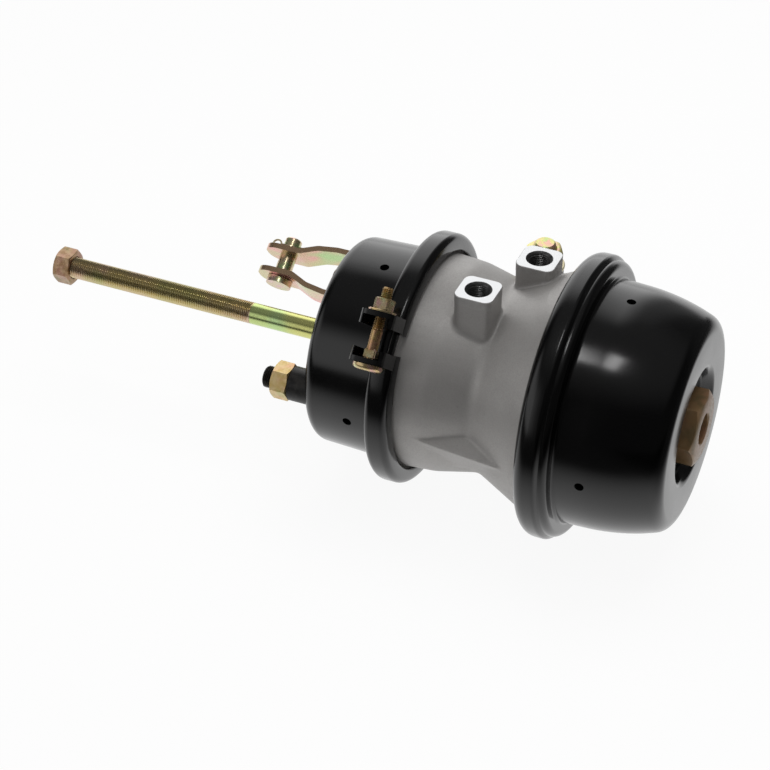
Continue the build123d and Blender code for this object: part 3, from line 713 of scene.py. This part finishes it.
stud_parts = []
for side in (-1, 1):
    place = standing(STUD * side + Vector((STUD_FOOT, 0, 0)), FORWARD)
    low, high = STUD_FOOT + SHOULDER, STUD_FOOT + STUD_REACH
    pairs = [(STUD_R - 0.9, 0), (STUD_R, 0.9), (STUD_R, low - 0.6), (STUD_R - 0.6, low)]
    pairs += [(STUD_CORE_R, low), (STUD_CORE_R - 0.8, low + 0.6)]
    stud_parts.append(solid("stud_shoulder", round_rings(pairs), place))
    stud_parts.append(solid("stud_thread", threaded_rings(THREAD_R, low + 0.2, high, PITCH), place))
stand_in(joined("studs_with_thread", stud_parts), black_stud_coat, "mounting_studs")

nut_seat = -STUD - Vector((SHOULDER + NUT_GAP, 0, 0))
near_nut = nut("near_stud_nut", NUT_SIZE, standing(nut_seat, FORWARD, ACROSS))
stand_in(near_nut, stud_nut_plating, "stud_nut")

# ------ push rod

ROD_TIP, THREAD_END, PLATE_REAR = -236.5, -73.2, 38.0
PLATE_FRONT = PLATE_REAR - 4
SHANK_R, SHANK_EASE = 7.95, 0.65
TIP_NUT_SEAT = -222

rod_rings = threaded_rings(THREAD_R, 0, THREAD_END - ROD_TIP, PITCH)
rod_thread = solid("push_rod_thread", rod_rings, standing((THREAD_END, 0, 0), FORWARD))
stand_in(rod_thread, rod_plating, "push_rod", body="push_rod")
shank_start = THREAD_END - 0.6
shank_pairs = [(SHANK_R - SHANK_EASE, 0), (SHANK_R, 0.7), (SHANK_R, PLATE_REAR - shank_start)]
shank_place = standing((shank_start, 0, 0), REARWARD)
rod_shank = solid("push_rod_shank", round_rings(shank_pairs, 64), shank_place)
dress(rod_shank, bright_plating)
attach(rod_shank, "push_rod")

tip_nut = nut("push_rod_tip_nut", NUT_SIZE, standing((TIP_NUT_SEAT, 0, 0), FORWARD, ACROSS))
stand_in(tip_nut, tip_nut_plating, "push_rod_nut", body="push_rod_nut")

# ------ clamp band

BAND_R, LIP_R, LIP_FLARE, BAND_BEND = 92.0, 82.0, 1.2, 3.6
BAND_FRONT, BAND_REAR = 55.6, 69.4
CLAMP_ANGLE, GAP = 139.5, 16.0
BOLT_R = 106.0
LUG_X, LUG_R, LUG_HALF, LUG_DEPTH = 59.0, 117.0, 12.5, 10.0
LUG_PLATE, LUG_WALL = 3.5, 3.0
LUG_SINK, LUG_CORNER, LUG_BEND = 2.4, 6, 2.5
BOLT_HOLE_R, BOLT_DRILL = 4.3, 30
POCKET_OPEN_R = 130
gap_angle = math.degrees(math.asin(GAP / 2 / BAND_R))
band_mid_r = BAND_R - SHEET / 2
band_line = eased(
    [
        (BAND_FRONT - LIP_FLARE, LIP_R),
        (BAND_FRONT, band_mid_r),
        (BAND_REAR, band_mid_r),
        (BAND_REAR + LIP_FLARE, LIP_R),
    ],
    (BAND_BEND, BAND_BEND),
    steps=10,
)


def bolt_frame(angle):
    """Outward direction, direction along the bolt and the middle of the gap, at one joint of the band."""
    out = outward(angle)
    return out, outward(angle + 90), Vector((LUG_X, 0, 0)) + out * BOLT_R


def flat_solid(name, outline, low, high, place):
    """A solid with this outline between two heights. place gives where each point and height goes."""
    return mesh_object(name, ring_stack([[place(p, h) for p in outline] for h in (low, high)]))


def channel_lug(angle, way):
    """The folded lug at one end of a half band: a channel that opens outwards, with a bolt hole."""
    out, along, middle = bolt_frame(angle)
    along = along * way

    def place(point, height):
        return Vector((LUG_X + point.x, 0, 0)) + out * point.y + along * (GAP / 2 + height)

    foot, half = BAND_R - LUG_SINK, LUG_HALF
    corners = [(-half, foot), (-half, LUG_R), (half, LUG_R), (half, foot)]
    outline = eased(corners, (LUG_CORNER, LUG_CORNER), steps=8)
    lug = flat_solid("lug", outline, 0, LUG_DEPTH, place)
    floor, half, top = BAND_R + LUG_PLATE / 2, LUG_HALF - LUG_WALL, POCKET_OPEN_R
    corners = [(0, floor), (-half, floor), (-half, top), (half, top), (half, floor), (0, floor)]
    outline = eased(corners, (LUG_BEND, 0.01, 0.01, LUG_BEND), steps=5)[1:-1]
    pocket = flat_solid("pocket", outline, -1, LUG_DEPTH - LUG_PLATE, place)
    carve(lug, [pocket, drill(BOLT_HOLE_R, middle, middle + along * BOLT_DRILL)])
    return lug


def half_band(name, start, node_name):
    """One half of the clamp band, from one gap to the other, with a lug at each end."""
    arc = {"start": start + gap_angle, "arc": 180 - 2 * gap_angle, "segments": 110}
    band = turned(name, thickened(band_line, SHEET), **arc)
    carve(band, [channel_lug(start, 1), channel_lug(start + 180, -1)], "UNION")
    smooth(band)
    soften(band, 0.5, 2, 40)
    stand_in(band, black_enamel, node_name)


half_band("upper_half_band", CLAMP_ANGLE + 180, "clamp_half_upper")
half_band("lower_half_band", CLAMP_ANGLE, "clamp_half_lower")

# Places along a clamp bolt, from the middle of its gap towards its head.
HEAD_SEAT, NECK_MID, THREAD_START, WASHER_SEAT, NUT_SEAT, BOLT_END = 18.1, 10.9, -6.0, -18.1, -19.8, -35.5
HEAD_R, HEAD_H, HEAD_RIM, HEAD_ROUND, HEAD_STEPS = 10.5, 4.6, 1.9, 4.2, 7
NECK_SIZE = (8.4, 8.4, 7)
BOLT_THREAD_R, BOLT_PITCH, BOLT_SHANK_R = 4, 1.25, 3.95
BOLT_NUT_SIZE = (13, 8, 4.06)
BOLT_WASHER = (9.8, 1.6, 0.3)


def round_head():
    """Rings of the bolt's low domed head, from its seat up."""
    pairs = [(HEAD_R - 0.4, 0), (HEAD_R, 0.4), (HEAD_R, HEAD_RIM)]
    for step in range(1, HEAD_STEPS):
        turn = math.pi / 2 * step / HEAD_STEPS
        radius = HEAD_R - HEAD_ROUND * (1 - math.cos(turn))
        pairs.append((radius, HEAD_RIM + (HEAD_H - HEAD_RIM) * math.sin(turn)))
    return round_rings([*pairs, (HEAD_R - HEAD_ROUND - 1.2, HEAD_H)])


def on_bolt(angle, distance, way):
    """The place at this distance along a clamp bolt, facing its head or its end."""
    _, along, middle = bolt_frame(angle)
    return standing(middle + along * distance, along * way, REARWARD)


heads, shanks, washers, nuts = [], [], [], []
for angle in (CLAMP_ANGLE, CLAMP_ANGLE + 180):
    _, along, middle = bolt_frame(angle)
    washers.append(flat_washer("washer", *BOLT_WASHER, on_bolt(angle, WASHER_SEAT, -1), 30))
    nuts.append(nut("nut", BOLT_NUT_SIZE, on_bolt(angle, NUT_SEAT, -1)))
    thread = threaded_rings(BOLT_THREAD_R, 0, THREAD_START - BOLT_END, BOLT_PITCH, chamfer=1.0, segments=28)
    shanks.append(solid("thread", thread, standing(middle + along * THREAD_START, -along)))
    reach = HEAD_SEAT - THREAD_START
    shank = round_rings([(BOLT_SHANK_R, 0), (BOLT_SHANK_R, reach - 0.4), (BOLT_SHANK_R - 0.35, reach)])
    shanks.append(solid("shank", shank, standing(middle + along * HEAD_SEAT, -along)))
    heads.append(solid("head", round_head(), on_bolt(angle, HEAD_SEAT, 1), 40))
    heads.append(eased_block("neck", NECK_SIZE, 0.9, on_bolt(angle, NECK_MID, 1)))
stand_in(joined("clamp_bolt_heads", heads), clamp_plating, "clamp_bolts")
stand_in(joined("clamp_bolt_shanks", shanks), shank_plating, "clamp_bolts")
stand_in(joined("clamp_washers_flat", washers), clamp_plating, "clamp_washers")
stand_in(joined("clamp_nuts_hex", nuts), clamp_plating, "clamp_nuts")

# ------ centre casing

PORT_TOP, PORT_HALF, PORT_CORNER, PORT_BORE = 90.0, 14.0, 6.0, 8.6
PORT_DEPTH, PORT_FOOT, PORT_PROUD, PORT_PITCH, PORT_CREST = 18, 7, 0.05, 1.5, 0.9
PORT_SEGMENTS = 96
PORT_PLACES = ((112.3, -27.0), (137.3, 25.0))
CAST_VOXEL = 1.0


def square_ring(half, corner, z):
    """A ring round a square with rounded corners."""
    middle = half - corner
    ring = []
    for k in range(PORT_SEGMENTS):
        angle = 2 * math.pi * k / PORT_SEGMENTS
        folded = angle % (math.pi / 2)
        folded = min(folded, math.pi / 2 - folded)
        if math.tan(folded) <= middle / half:
            r = half / math.cos(folded)
        else:
            reach = middle * (math.cos(folded) + math.sin(folded))
            r = reach + math.sqrt(reach**2 - 2 * middle**2 + corner**2)
        ring.append(at_angle(r, angle, z))
    return ring


def bore_thread(top, bottom, per_turn=6):
    """Rings of a port's inside thread, from its mouth down."""
    count = round((top - bottom) / PORT_PITCH * per_turn)
    rings = []
    for i in range(count + 1):
        z = top - (top - bottom) * i / count
        ring = []
        for k in range(PORT_SEGMENTS):
            crest = 0.5 - 0.5 * math.cos(2 * math.pi * (z / PORT_PITCH - k / PORT_SEGMENTS))
            r = PORT_BORE - PORT_CREST * crest * min(1, (top - z) / PORT_PITCH)
            ring.append(at_angle(r, 2 * math.pi * k / PORT_SEGMENTS, z))
        rings.append(ring)
    return rings


def port_head(name, place):
    """The machined top of an air port: flat face, chamfered mouth and inside thread."""
    half, corner, grown = PORT_HALF, PORT_CORNER, PORT_HALF + PORT_PROUD
    foot, depth = PORT_TOP - PORT_FOOT, PORT_TOP - PORT_DEPTH
    outside = [
        square_ring(half - 2, corner - 2, foot),
        square_ring(grown, corner, foot + 0.5),
        square_ring(grown, corner, PORT_TOP - 0.45),
        square_ring(half - 0.35, corner - 0.35, PORT_TOP),
    ]
    mouth = round_rings([(PORT_BORE + 1, PORT_TOP)], PORT_SEGMENTS)
    skirt = round_rings([(PORT_BORE + 0.7, depth), (PORT_BORE + 0.7, foot)], PORT_SEGMENTS)
    shape = ring_stack(outside + mouth + bore_thread(PORT_TOP - 1, depth) + skirt, tube=True)
    bmesh.ops.translate(shape, vec=Vector((*place, 0)) * MM, verts=shape.verts)
    # The mouth, the thread and the skirt inside the bore get the dark bore material: painted shade inside the
    # hole.
    face_ring, bore_ring = len(outside) - 1, len(outside)
    for k, face in enumerate(shape.faces):
        i = k // PORT_SEGMENTS
        face.material_index = 1 if i == face_ring else 2 if i >= bore_ring else 0
    head = mesh_object(name, shape, HEX_CREASE)
    for material in (cast_aluminium, machined_aluminium, shaded_bore_aluminium):
        head.data.materials.append(material)
    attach(head, "chamber")


# The casting is smoothed by FLOW_STEPS, apart from its seats, its hub and the ports' machined heads.
FLOW_STEPS, FLOW_PULL, SEAT_FLOW = 14, 0.6, 0.25
CAST_FRONT, CAST_REAR, HUB_R = 70, 171, 34
HEAD_FOOT, HEAD_BLEND = PORT_TOP - 6, 3
HEAD_DROP = 0.3
# Painted shade on the casting: black enamel outside this radius, from just inside the clamp band's front to 3
# mm behind its rear.
GAP_SHADE_R, GAP_SHADE_FRONT, GAP_SHADE_REAR = 84, BAND_FRONT - 2, BAND_REAR + 3


def flow_weight(x, y, z):
    """How freely a point of the casting is smoothed."""
    if x < CAST_FRONT or x > CAST_REAR or math.hypot(y, z) < HUB_R:
        return SEAT_FLOW
    return min(1.0, max(0.0, (HEAD_FOOT - z) / HEAD_BLEND))


def cast_body():
    """The casing as cast: its corners run out and its ribs and bosses flow into the wall."""
    body = add_object("cast_casing", node["center_casing"].data.copy())
    skin = body.modifiers.new("skin", "REMESH")
    skin.mode = "VOXEL"
    skin.voxel_size = CAST_VOXEL * MM
    apply_modifiers(body)
    flow = body.vertex_groups.new(name="flow")
    for vertex in body.data.vertices:
        flow.add([vertex.index], flow_weight(*(vertex.co / MM)), "REPLACE")
    blend = body.modifiers.new("flow", "SMOOTH")
    blend.factor = FLOW_PULL
    blend.iterations = FLOW_STEPS
    blend.vertex_group = "flow"
    apply_modifiers(body)
    for vertex in body.data.vertices:
        above = vertex.co.z / MM - HEAD_FOOT
        if above > 0:
            vertex.co.z -= HEAD_DROP * above * MM
    body.data.shade_smooth()
    stand_in(body, cast_aluminium, "center_casing")
    # Painted shade: the casting's flange under the clamp band, and 3 mm behind it, gets the black enamel. It
    # stands for the shade in the gap between the band's halves and along the band's rear edge.
    body.data.materials.append(black_enamel)
    for face in body.data.polygons:
        x, y, z = face.center / MM
        if GAP_SHADE_FRONT < x < GAP_SHADE_REAR and math.hypot(y, z) > GAP_SHADE_R:
            face.material_index = 1


cast_body()
for i, place in enumerate(PORT_PLACES):
    port_head(f"air_port_head_{i + 1}", place)

# ------ release bolt in its pocket

POCKET = (123.2, 78.0)
POCKET_TOP, POCKET_BOTTOM = 47.0, -62.0
RELEASE_TIP, RELEASE_NUT_SEAT = 67.5, 49.6
T_HEAD = (23.0, 8.6, 11.0)
RELEASE_WASHER = (15, 2.5, 0.4)


def in_pocket(z):
    """The place at this height on the pocket's axis."""
    return standing((*POCKET, z), UP, REARWARD)


foot = POCKET_BOTTOM - 0.1
bolt_place = standing((*POCKET, foot), UP)
release_parts = [
    solid("bolt", threaded_rings(THREAD_R, 0, RELEASE_TIP - foot, PITCH), bolt_place),
    eased_block("t_head", T_HEAD, 1.2, in_pocket(foot - T_HEAD[2] / 2)),
]
stand_in(joined("release_bolt_threaded", release_parts), release_plating, "release_bolt")
release_washer = flat_washer("release_washer_flat", *RELEASE_WASHER, standing((*POCKET, POCKET_TOP), UP))
stand_in(release_washer, washer_zinc, "release_washer")
release_nut = nut("release_nut_hex", NUT_SIZE, in_pocket(RELEASE_NUT_SEAT))
stand_in(release_nut, release_plating, "release_nut")

# ------ rear cap and its plug

# The middle of the cap's sheet: the rim rolled round the casing's flange, a step that holds the
# diaphragm's bead, the slightly drawn-in side, the rear face and the recess round the plug.
ROLL_FRONT, ROLL_REAR, ROLL_LIP_R, ROLL_R = 168.2, 182.7, 92, 101.3
STEP_FRONT, STEP_REAR, STEP_R = 185.0, 189.8, 98.3
SIDE_LINE = ((STEP_REAR, 86.6), (217, 85.6), (241, 82.2))
CAP_REAR, CAP_FACE_R, CAP_CORNER_R = 265.0, 74, 12.0
RECESS_FLOOR, RECESS_R, RECESS_FLOOR_R, PLUG_HOLE_R = 256.5, 42.5, 40, 15
CAP_VENTS_X, CAP_VENTS_R = 211.3, 85
CAP_VENT_ANGLES = (87, 184, 267, 4)
roll_line = [(ROLL_FRONT, ROLL_LIP_R), (ROLL_FRONT, ROLL_R), (ROLL_REAR, ROLL_R)]
step_line = [(STEP_FRONT, STEP_R), (STEP_REAR, STEP_R)]
face_x, recess_x = CAP_REAR - SHEET / 2, RECESS_FLOOR - SHEET / 2
rear_line = [(face_x, CAP_FACE_R), (face_x, RECESS_R), (recess_x, RECESS_FLOOR_R), (recess_x, PLUG_HOLE_R)]
cap_line = eased(
    [*roll_line, *step_line, *SIDE_LINE, *rear_line],
    (8, 2, 2, 3.5, 4, 150, 145, CAP_CORNER_R - SHEET / 2, 3, 3),
    steps=10,
)
cap = turned("rear_cap_pressing", thickened(cap_line, SHEET), segments=240)
carve(cap, vent_drills(CAP_VENTS_X, CAP_VENT_ANGLES, CAP_VENTS_R))
smooth(cap)
stand_in(cap, black_enamel, "rear_cap")

PLUG_FLATS, PLUG_H = 48.0, 15.0
PLUG_STEM_R, PLUG_STEM = 14.9, 7
PLUG_BORE_R, PLUG_BORE_DEPTH = 11.0, 10


def plug_rings():
    """Rings of the plug from its stem's end, round the hexagon and down the blind bore."""
    stem = [(PLUG_STEM_R - 0.8, -PLUG_STEM), (PLUG_STEM_R, 0.8 - PLUG_STEM), (PLUG_STEM_R, 0)]
    bore = [
        (PLUG_BORE_R + 1, PLUG_H),
        (PLUG_BORE_R, PLUG_H - 1),
        (PLUG_BORE_R, PLUG_H - PLUG_BORE_DEPTH + 0.6),
        (PLUG_BORE_R - 0.6, PLUG_H - PLUG_BORE_DEPTH),
    ]
    hexagon = hex_rings(PLUG_FLATS, 0, PLUG_H, both=False)
    return round_rings(stem, HEX_SEGMENTS) + hexagon + round_rings(bore, HEX_SEGMENTS)


plug_place = standing((RECESS_FLOOR, 0, 0), REARWARD, ACROSS)
plug = solid("release_port_plug", plug_rings(), plug_place, HEX_CREASE)
soften(plug, 0.5, 2, 30)
stand_in(plug, plug_coat, "port_plug")

# ------ springs

# SPRING_END is how much of a turn lies flat on each seat, and a coil stays SEAT_GAP off its seats.
SPRING_END, SEAT_GAP, COIL_STEPS = 0.7, 0.1, 40


def coil_path(front_x, rear_x, front_r, rear_r, turns):
    """Points along a conical coil whose end turns lie flat on their seats."""
    flat = SPRING_END / turns
    points = []
    count = round(turns * COIL_STEPS)
    for i in range(count + 1):
        t = i / count
        rise = min(1, max(0, (t - flat / 2) / (1 - flat)))
        angle = 2 * math.pi * turns * t
        r = front_r + (rear_r - front_r) * t
        points.append((front_x + (rear_x - front_x) * rise, r * math.cos(angle), r * math.sin(angle)))
    return points


def coil(name, node_name, seats, wire, radii, turns):
    """A spring between its (fixed, moving) seats. wire is its radius, radii are the coil's front and rear."""
    low, high = sorted(seats)
    path = coil_path(low + wire + SEAT_GAP, high - wire - SEAT_GAP, *radii, turns)
    spring = swept(name, path, wire)
    dress(spring, spring_coat)
    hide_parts(node_name)
    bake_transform(spring)


SERVICE_SEATS = (5.6, PLATE_FRONT)
PISTON_SEATS = (139.5, 145)
POWER_SEATS = (CAP_REAR - SHEET, 154.4)
coil("service_spring_coil", "service_return_spring", SERVICE_SEATS, 2.2, (38, 24), 4.5)
coil("piston_spring_coil", "rod_return_spring", PISTON_SEATS, 1.1, (26, 17.5), 3)
coil("power_spring_coil", "power_spring", POWER_SEATS, 5.5, (30, 60), 4)

# ------ diaphragms

RUBBER, BEAD_WIDTH, BEAD_OVERLAP = 3.2, 7, 0.5


def diaphragm(name, node_name, centre, rim):
    """A rubber cup with a thick bead. centre is (x, flat radius, wall radius), rim is (x, radius, bead)."""
    centre_x, flat_r, wall_r = centre
    rim_x, rim_r, rim_t = rim
    bead_in, half = rim_r - BEAD_WIDTH, rim_t / 2 - 0.05
    corners = [(centre_x, 0), (centre_x, flat_r), (rim_x, wall_r), (rim_x, bead_in + BEAD_OVERLAP)]
    skin = turned(name, thickened(eased(corners, (6, 3), steps=8), RUBBER, end_steps=1), segments=160)
    front, rear, seam = rim_x - half, rim_x + half, (rim_x, bead_in)
    corners = [seam, (front, bead_in), (front, rim_r), (rear, rim_r), (rear, bead_in), seam]
    bead = turned("bead", eased(corners, (0.6, 0.6, 0.6, 0.6), steps=4)[:-1], segments=160)
    cup = joined(name, [skin, bead])
    dress(cup, diaphragm_rubber)
    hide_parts(node_name)
    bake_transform(cup)


diaphragm("service_diaphragm_cup", "service_diaphragm", (39.9, 56.2, 71), (61.9, 88.6, 3.4))
diaphragm("spring_diaphragm_cup", "spring_diaphragm", (149.7, 69, 86.8), (185.8, 94.7, 4.8))

# ------ clevis, pin and split pin

PIN_X = -75.4
SPLIT_PIN_REACH = 15.2
EYE_R, EYE_X, WIRE_R, LEG_GAP = 3.2, -12.2, 0.72, 0.55
LEG_POINTS = (4, 0, -4, -8)
LEG_END, LEG_SPLAY = 9, 0.9


def split_pin():
    """A split pin through the clevis pin: a round eye and two legs bent a little apart."""
    middle = STUD + Vector((PIN_X, 0, 0)) + pin_way * SPLIT_PIN_REACH

    def point(x, side):
        return middle + Vector((x, 0, 0)) + pin_way * side

    path = [point(LEG_END, LEG_SPLAY)]
    path += [point(x, LEG_GAP) for x in LEG_POINTS]
    for step in range(-2, 19):
        turn = math.pi * step / 16
        path.append(point(EYE_X + EYE_R * math.cos(turn), EYE_R * math.sin(turn)))
    path += [point(x, -LEG_GAP) for x in reversed(LEG_POINTS)]
    path.append(point(LEG_END, -LEG_SPLAY))
    return swept("split_pin", path, WIRE_R, 10)


stand_in(split_pin(), washer_zinc, "cotter_pin", body="clevis_pin")
keep("clevis", clevis_plating, 0.5)
keep("clevis_pin", pin_plating, 0.4)
keep("clevis_washer", pin_plating, 0.3)

# ------ inner pieces kept from the CAD model

keep("rod_guide", guide_nylon)
keep("rod_bush", bush_nylon)
keep("rod_seals", diaphragm_rubber)
keep("push_plate", plain_zinc)
keep("actuating_rod", plain_zinc)
keep("actuating_plate", plain_zinc)
keep("pressure_plate", cast_aluminium)

# ------ floor

# Everything from here on is in metres, apart from the camera's own figures.
FLOOR_GAP, FLOOR_REACH, FLOOR_WHITE, VEIL = 0.0004, 4, 0.86, 0.93
floor_height = cad_low.z - FLOOR_GAP
floor_mesh = bpy.data.meshes.new("table_top")
corners = [(x * FLOOR_REACH, y * FLOOR_REACH) for x, y in ((-1, -1), (1, -1), (1, 1), (-1, 1))]
floor_mesh.from_pydata([(x, y, floor_height) for x, y in corners], [], [(0, 1, 2, 3)])
floor = add_object("table_top", floor_mesh)

table = bpy.data.materials.new("table_white")
table.use_nodes = True
tree = table.node_tree
tree.nodes.remove(tree.nodes["Principled BSDF"])
matt = tree.nodes.new("ShaderNodeBsdfDiffuse")
matt.inputs["Color"].default_value = (FLOOR_WHITE, FLOOR_WHITE, FLOOR_WHITE, 1)
white = tree.nodes.new("ShaderNodeEmission")
white.inputs["Color"].default_value = (1, 1, 1, 1)
path = tree.nodes.new("ShaderNodeLightPath")
place = tree.nodes.new("ShaderNodeNewGeometry")
axes = tree.nodes.new("ShaderNodeSeparateXYZ")
tree.links.new(place.outputs["Position"], axes.inputs[0])
# Reflections see the floor lit under the object, and dimmed in front of it and to its right.
lit_behind = spread(tree, axes.outputs["Y"], -0.36, -0.12, 0.05, 1.0)
lit_left = spread(tree, axes.outputs["X"], 0.3, 0.5, 1.0, 0.05)
lit = product(tree, lit_behind, lit_left)
dimmed = product(tree, path.outputs["Is Glossy Ray"], combine(tree, 1.0, lit, "SUBTRACT"))
tree.links.new(combine(tree, 1.0, dimmed, "SUBTRACT"), white.inputs["Strength"])
on_camera = product(tree, path.outputs["Is Camera Ray"], VEIL)
seen = combine(tree, on_camera, path.outputs["Is Glossy Ray"], "MAXIMUM")
seen = combine(tree, seen, path.outputs["Is Transmission Ray"], "MAXIMUM")
veil = tree.nodes.new("ShaderNodeMixShader")
tree.links.new(seen, veil.inputs["Fac"])
tree.links.new(matt.outputs[0], veil.inputs[1])
tree.links.new(white.outputs[0], veil.inputs[2])
tree.links.new(veil.outputs[0], tree.nodes["Material Output"].inputs["Surface"])
dress(floor, table)

# ------ surroundings and lamps

world = bpy.data.worlds.new("studio")
bpy.context.scene.world = world
world.use_nodes = True
tree = world.node_tree
background = tree.nodes["Background"]
background.inputs["Color"].default_value = (1, 1, 1, 1)
where = tree.nodes.new("ShaderNodeTexCoord")
axes = tree.nodes.new("ShaderNodeSeparateXYZ")
tree.links.new(where.outputs["Generated"], axes.inputs[0])
to_x, to_y, to_z = axes.outputs["X"], axes.outputs["Y"], axes.outputs["Z"]

# What the surfaces mirror, by direction: a ceiling, a wall behind and its horizon, a panel at the left.
ceiling = spread(tree, to_z, 0.55, 0.95, 0.04, 0.2)
wall_left = spread(tree, to_x, -0.19, -0.07, 1.55, 0.27)
wall_right = spread(tree, to_x, 0.0, 0.12, 0.0, 0.2)
rear_wall = product(tree, spread(tree, to_y, 0.25, 0.7), combine(tree, wall_left, wall_right, "SUBTRACT"))
rear_horizon = product(
    tree,
    spread(tree, to_y, 0.5, 0.8),
    spread(tree, to_z, -0.1, 0.2, 1.0, 0.0),
    spread(tree, to_x, 0.0, 0.25, 1.0, 0.1),
)
left_panel = product(
    tree,
    spread(tree, to_x, -0.38, -0.22, 0.95, 0.0),
    spread(tree, to_z, -0.15, 0.1),
    spread(tree, to_z, 0.42, 0.75, 1.0, 0.0),
    spread(tree, to_y, -0.3, 0.0, 1.0, 0.0),
)
around = ceiling
for part in (rear_wall, left_panel, rear_horizon):
    around = combine(tree, around, part, "MAXIMUM")
path = tree.nodes.new("ShaderNodeLightPath")
directly = combine(tree, path.outputs["Is Camera Ray"], path.outputs["Is Transmission Ray"], "MAXIMUM")
# FILL is the even light that the surroundings cast on matt surfaces.
FILL = 0.4
mirrored = product(tree, path.outputs["Is Glossy Ray"], combine(tree, around, FILL, "SUBTRACT"))
level = combine(tree, mirrored, FILL)
level = combine(tree, level, directly, "MAXIMUM")
tree.links.new(level, background.inputs["Strength"])


def softbox(name, place, target, width, height, power, in_reflections):
    """A rectangular lamp at place that faces target, seen in reflections or not. power is in watts."""
    lamp = bpy.data.lights.new(name, "AREA")
    lamp.shape = "RECTANGLE"
    lamp.size = width
    lamp.size_y = height
    lamp.energy = power
    obj = add_object(name, lamp)
    obj.location = place
    obj.rotation_euler = (Vector(target) - Vector(place)).to_track_quat("-Z", "Y").to_euler()
    obj.visible_glossy = in_reflections


softbox("overhead_box", (0.05, 0.35, 1.5), (0.12, 0, 0), 1.3, 0.9, 15, False)
softbox("small_box", (0.14, -0.33, 1.23), (0.2, -0.04, 0.07), 0.17, 0.3, 1.25, True)

# ------ camera

# In degrees, millimetres and pixels of the frame, which is IMAGE_PX wide.
view_azimuth, view_height, view_roll = math.radians(23), math.radians(37), math.radians(0.35)
distance, pixels_per_mm = 1700.0, 1.41
target = Vector((125, 0, 0))
shift_px = Vector((120.5, -7.0))
IMAGE_PX, SENSOR_MM = 770, 36
back = Vector((
    math.sin(view_azimuth) * math.cos(view_height),
    -math.cos(view_azimuth) * math.cos(view_height),
    math.sin(view_height),
))
level_right = Vector((math.cos(view_azimuth), math.sin(view_azimuth), 0))
level_up = back.cross(level_right)
right = level_right * math.cos(view_roll) + level_up * math.sin(view_roll)
up = level_up * math.cos(view_roll) - level_right * math.sin(view_roll)
camera_data = bpy.data.cameras.new("camera")
camera_data.sensor_width = SENSOR_MM
camera_data.lens = SENSOR_MM * pixels_per_mm * distance / IMAGE_PX
camera_data.clip_start = 0.05
camera_data.clip_end = 50
camera = add_object("camera", camera_data)
spot = target + back * distance + (up * shift_px.y - right * shift_px.x) / pixels_per_mm
camera.matrix_world = Matrix.Translation(spot * MM) @ Matrix((right, up, back)).transposed().to_4x4()
bpy.context.scene.camera = camera
bpy.context.scene.view_settings.view_transform = "Standard"
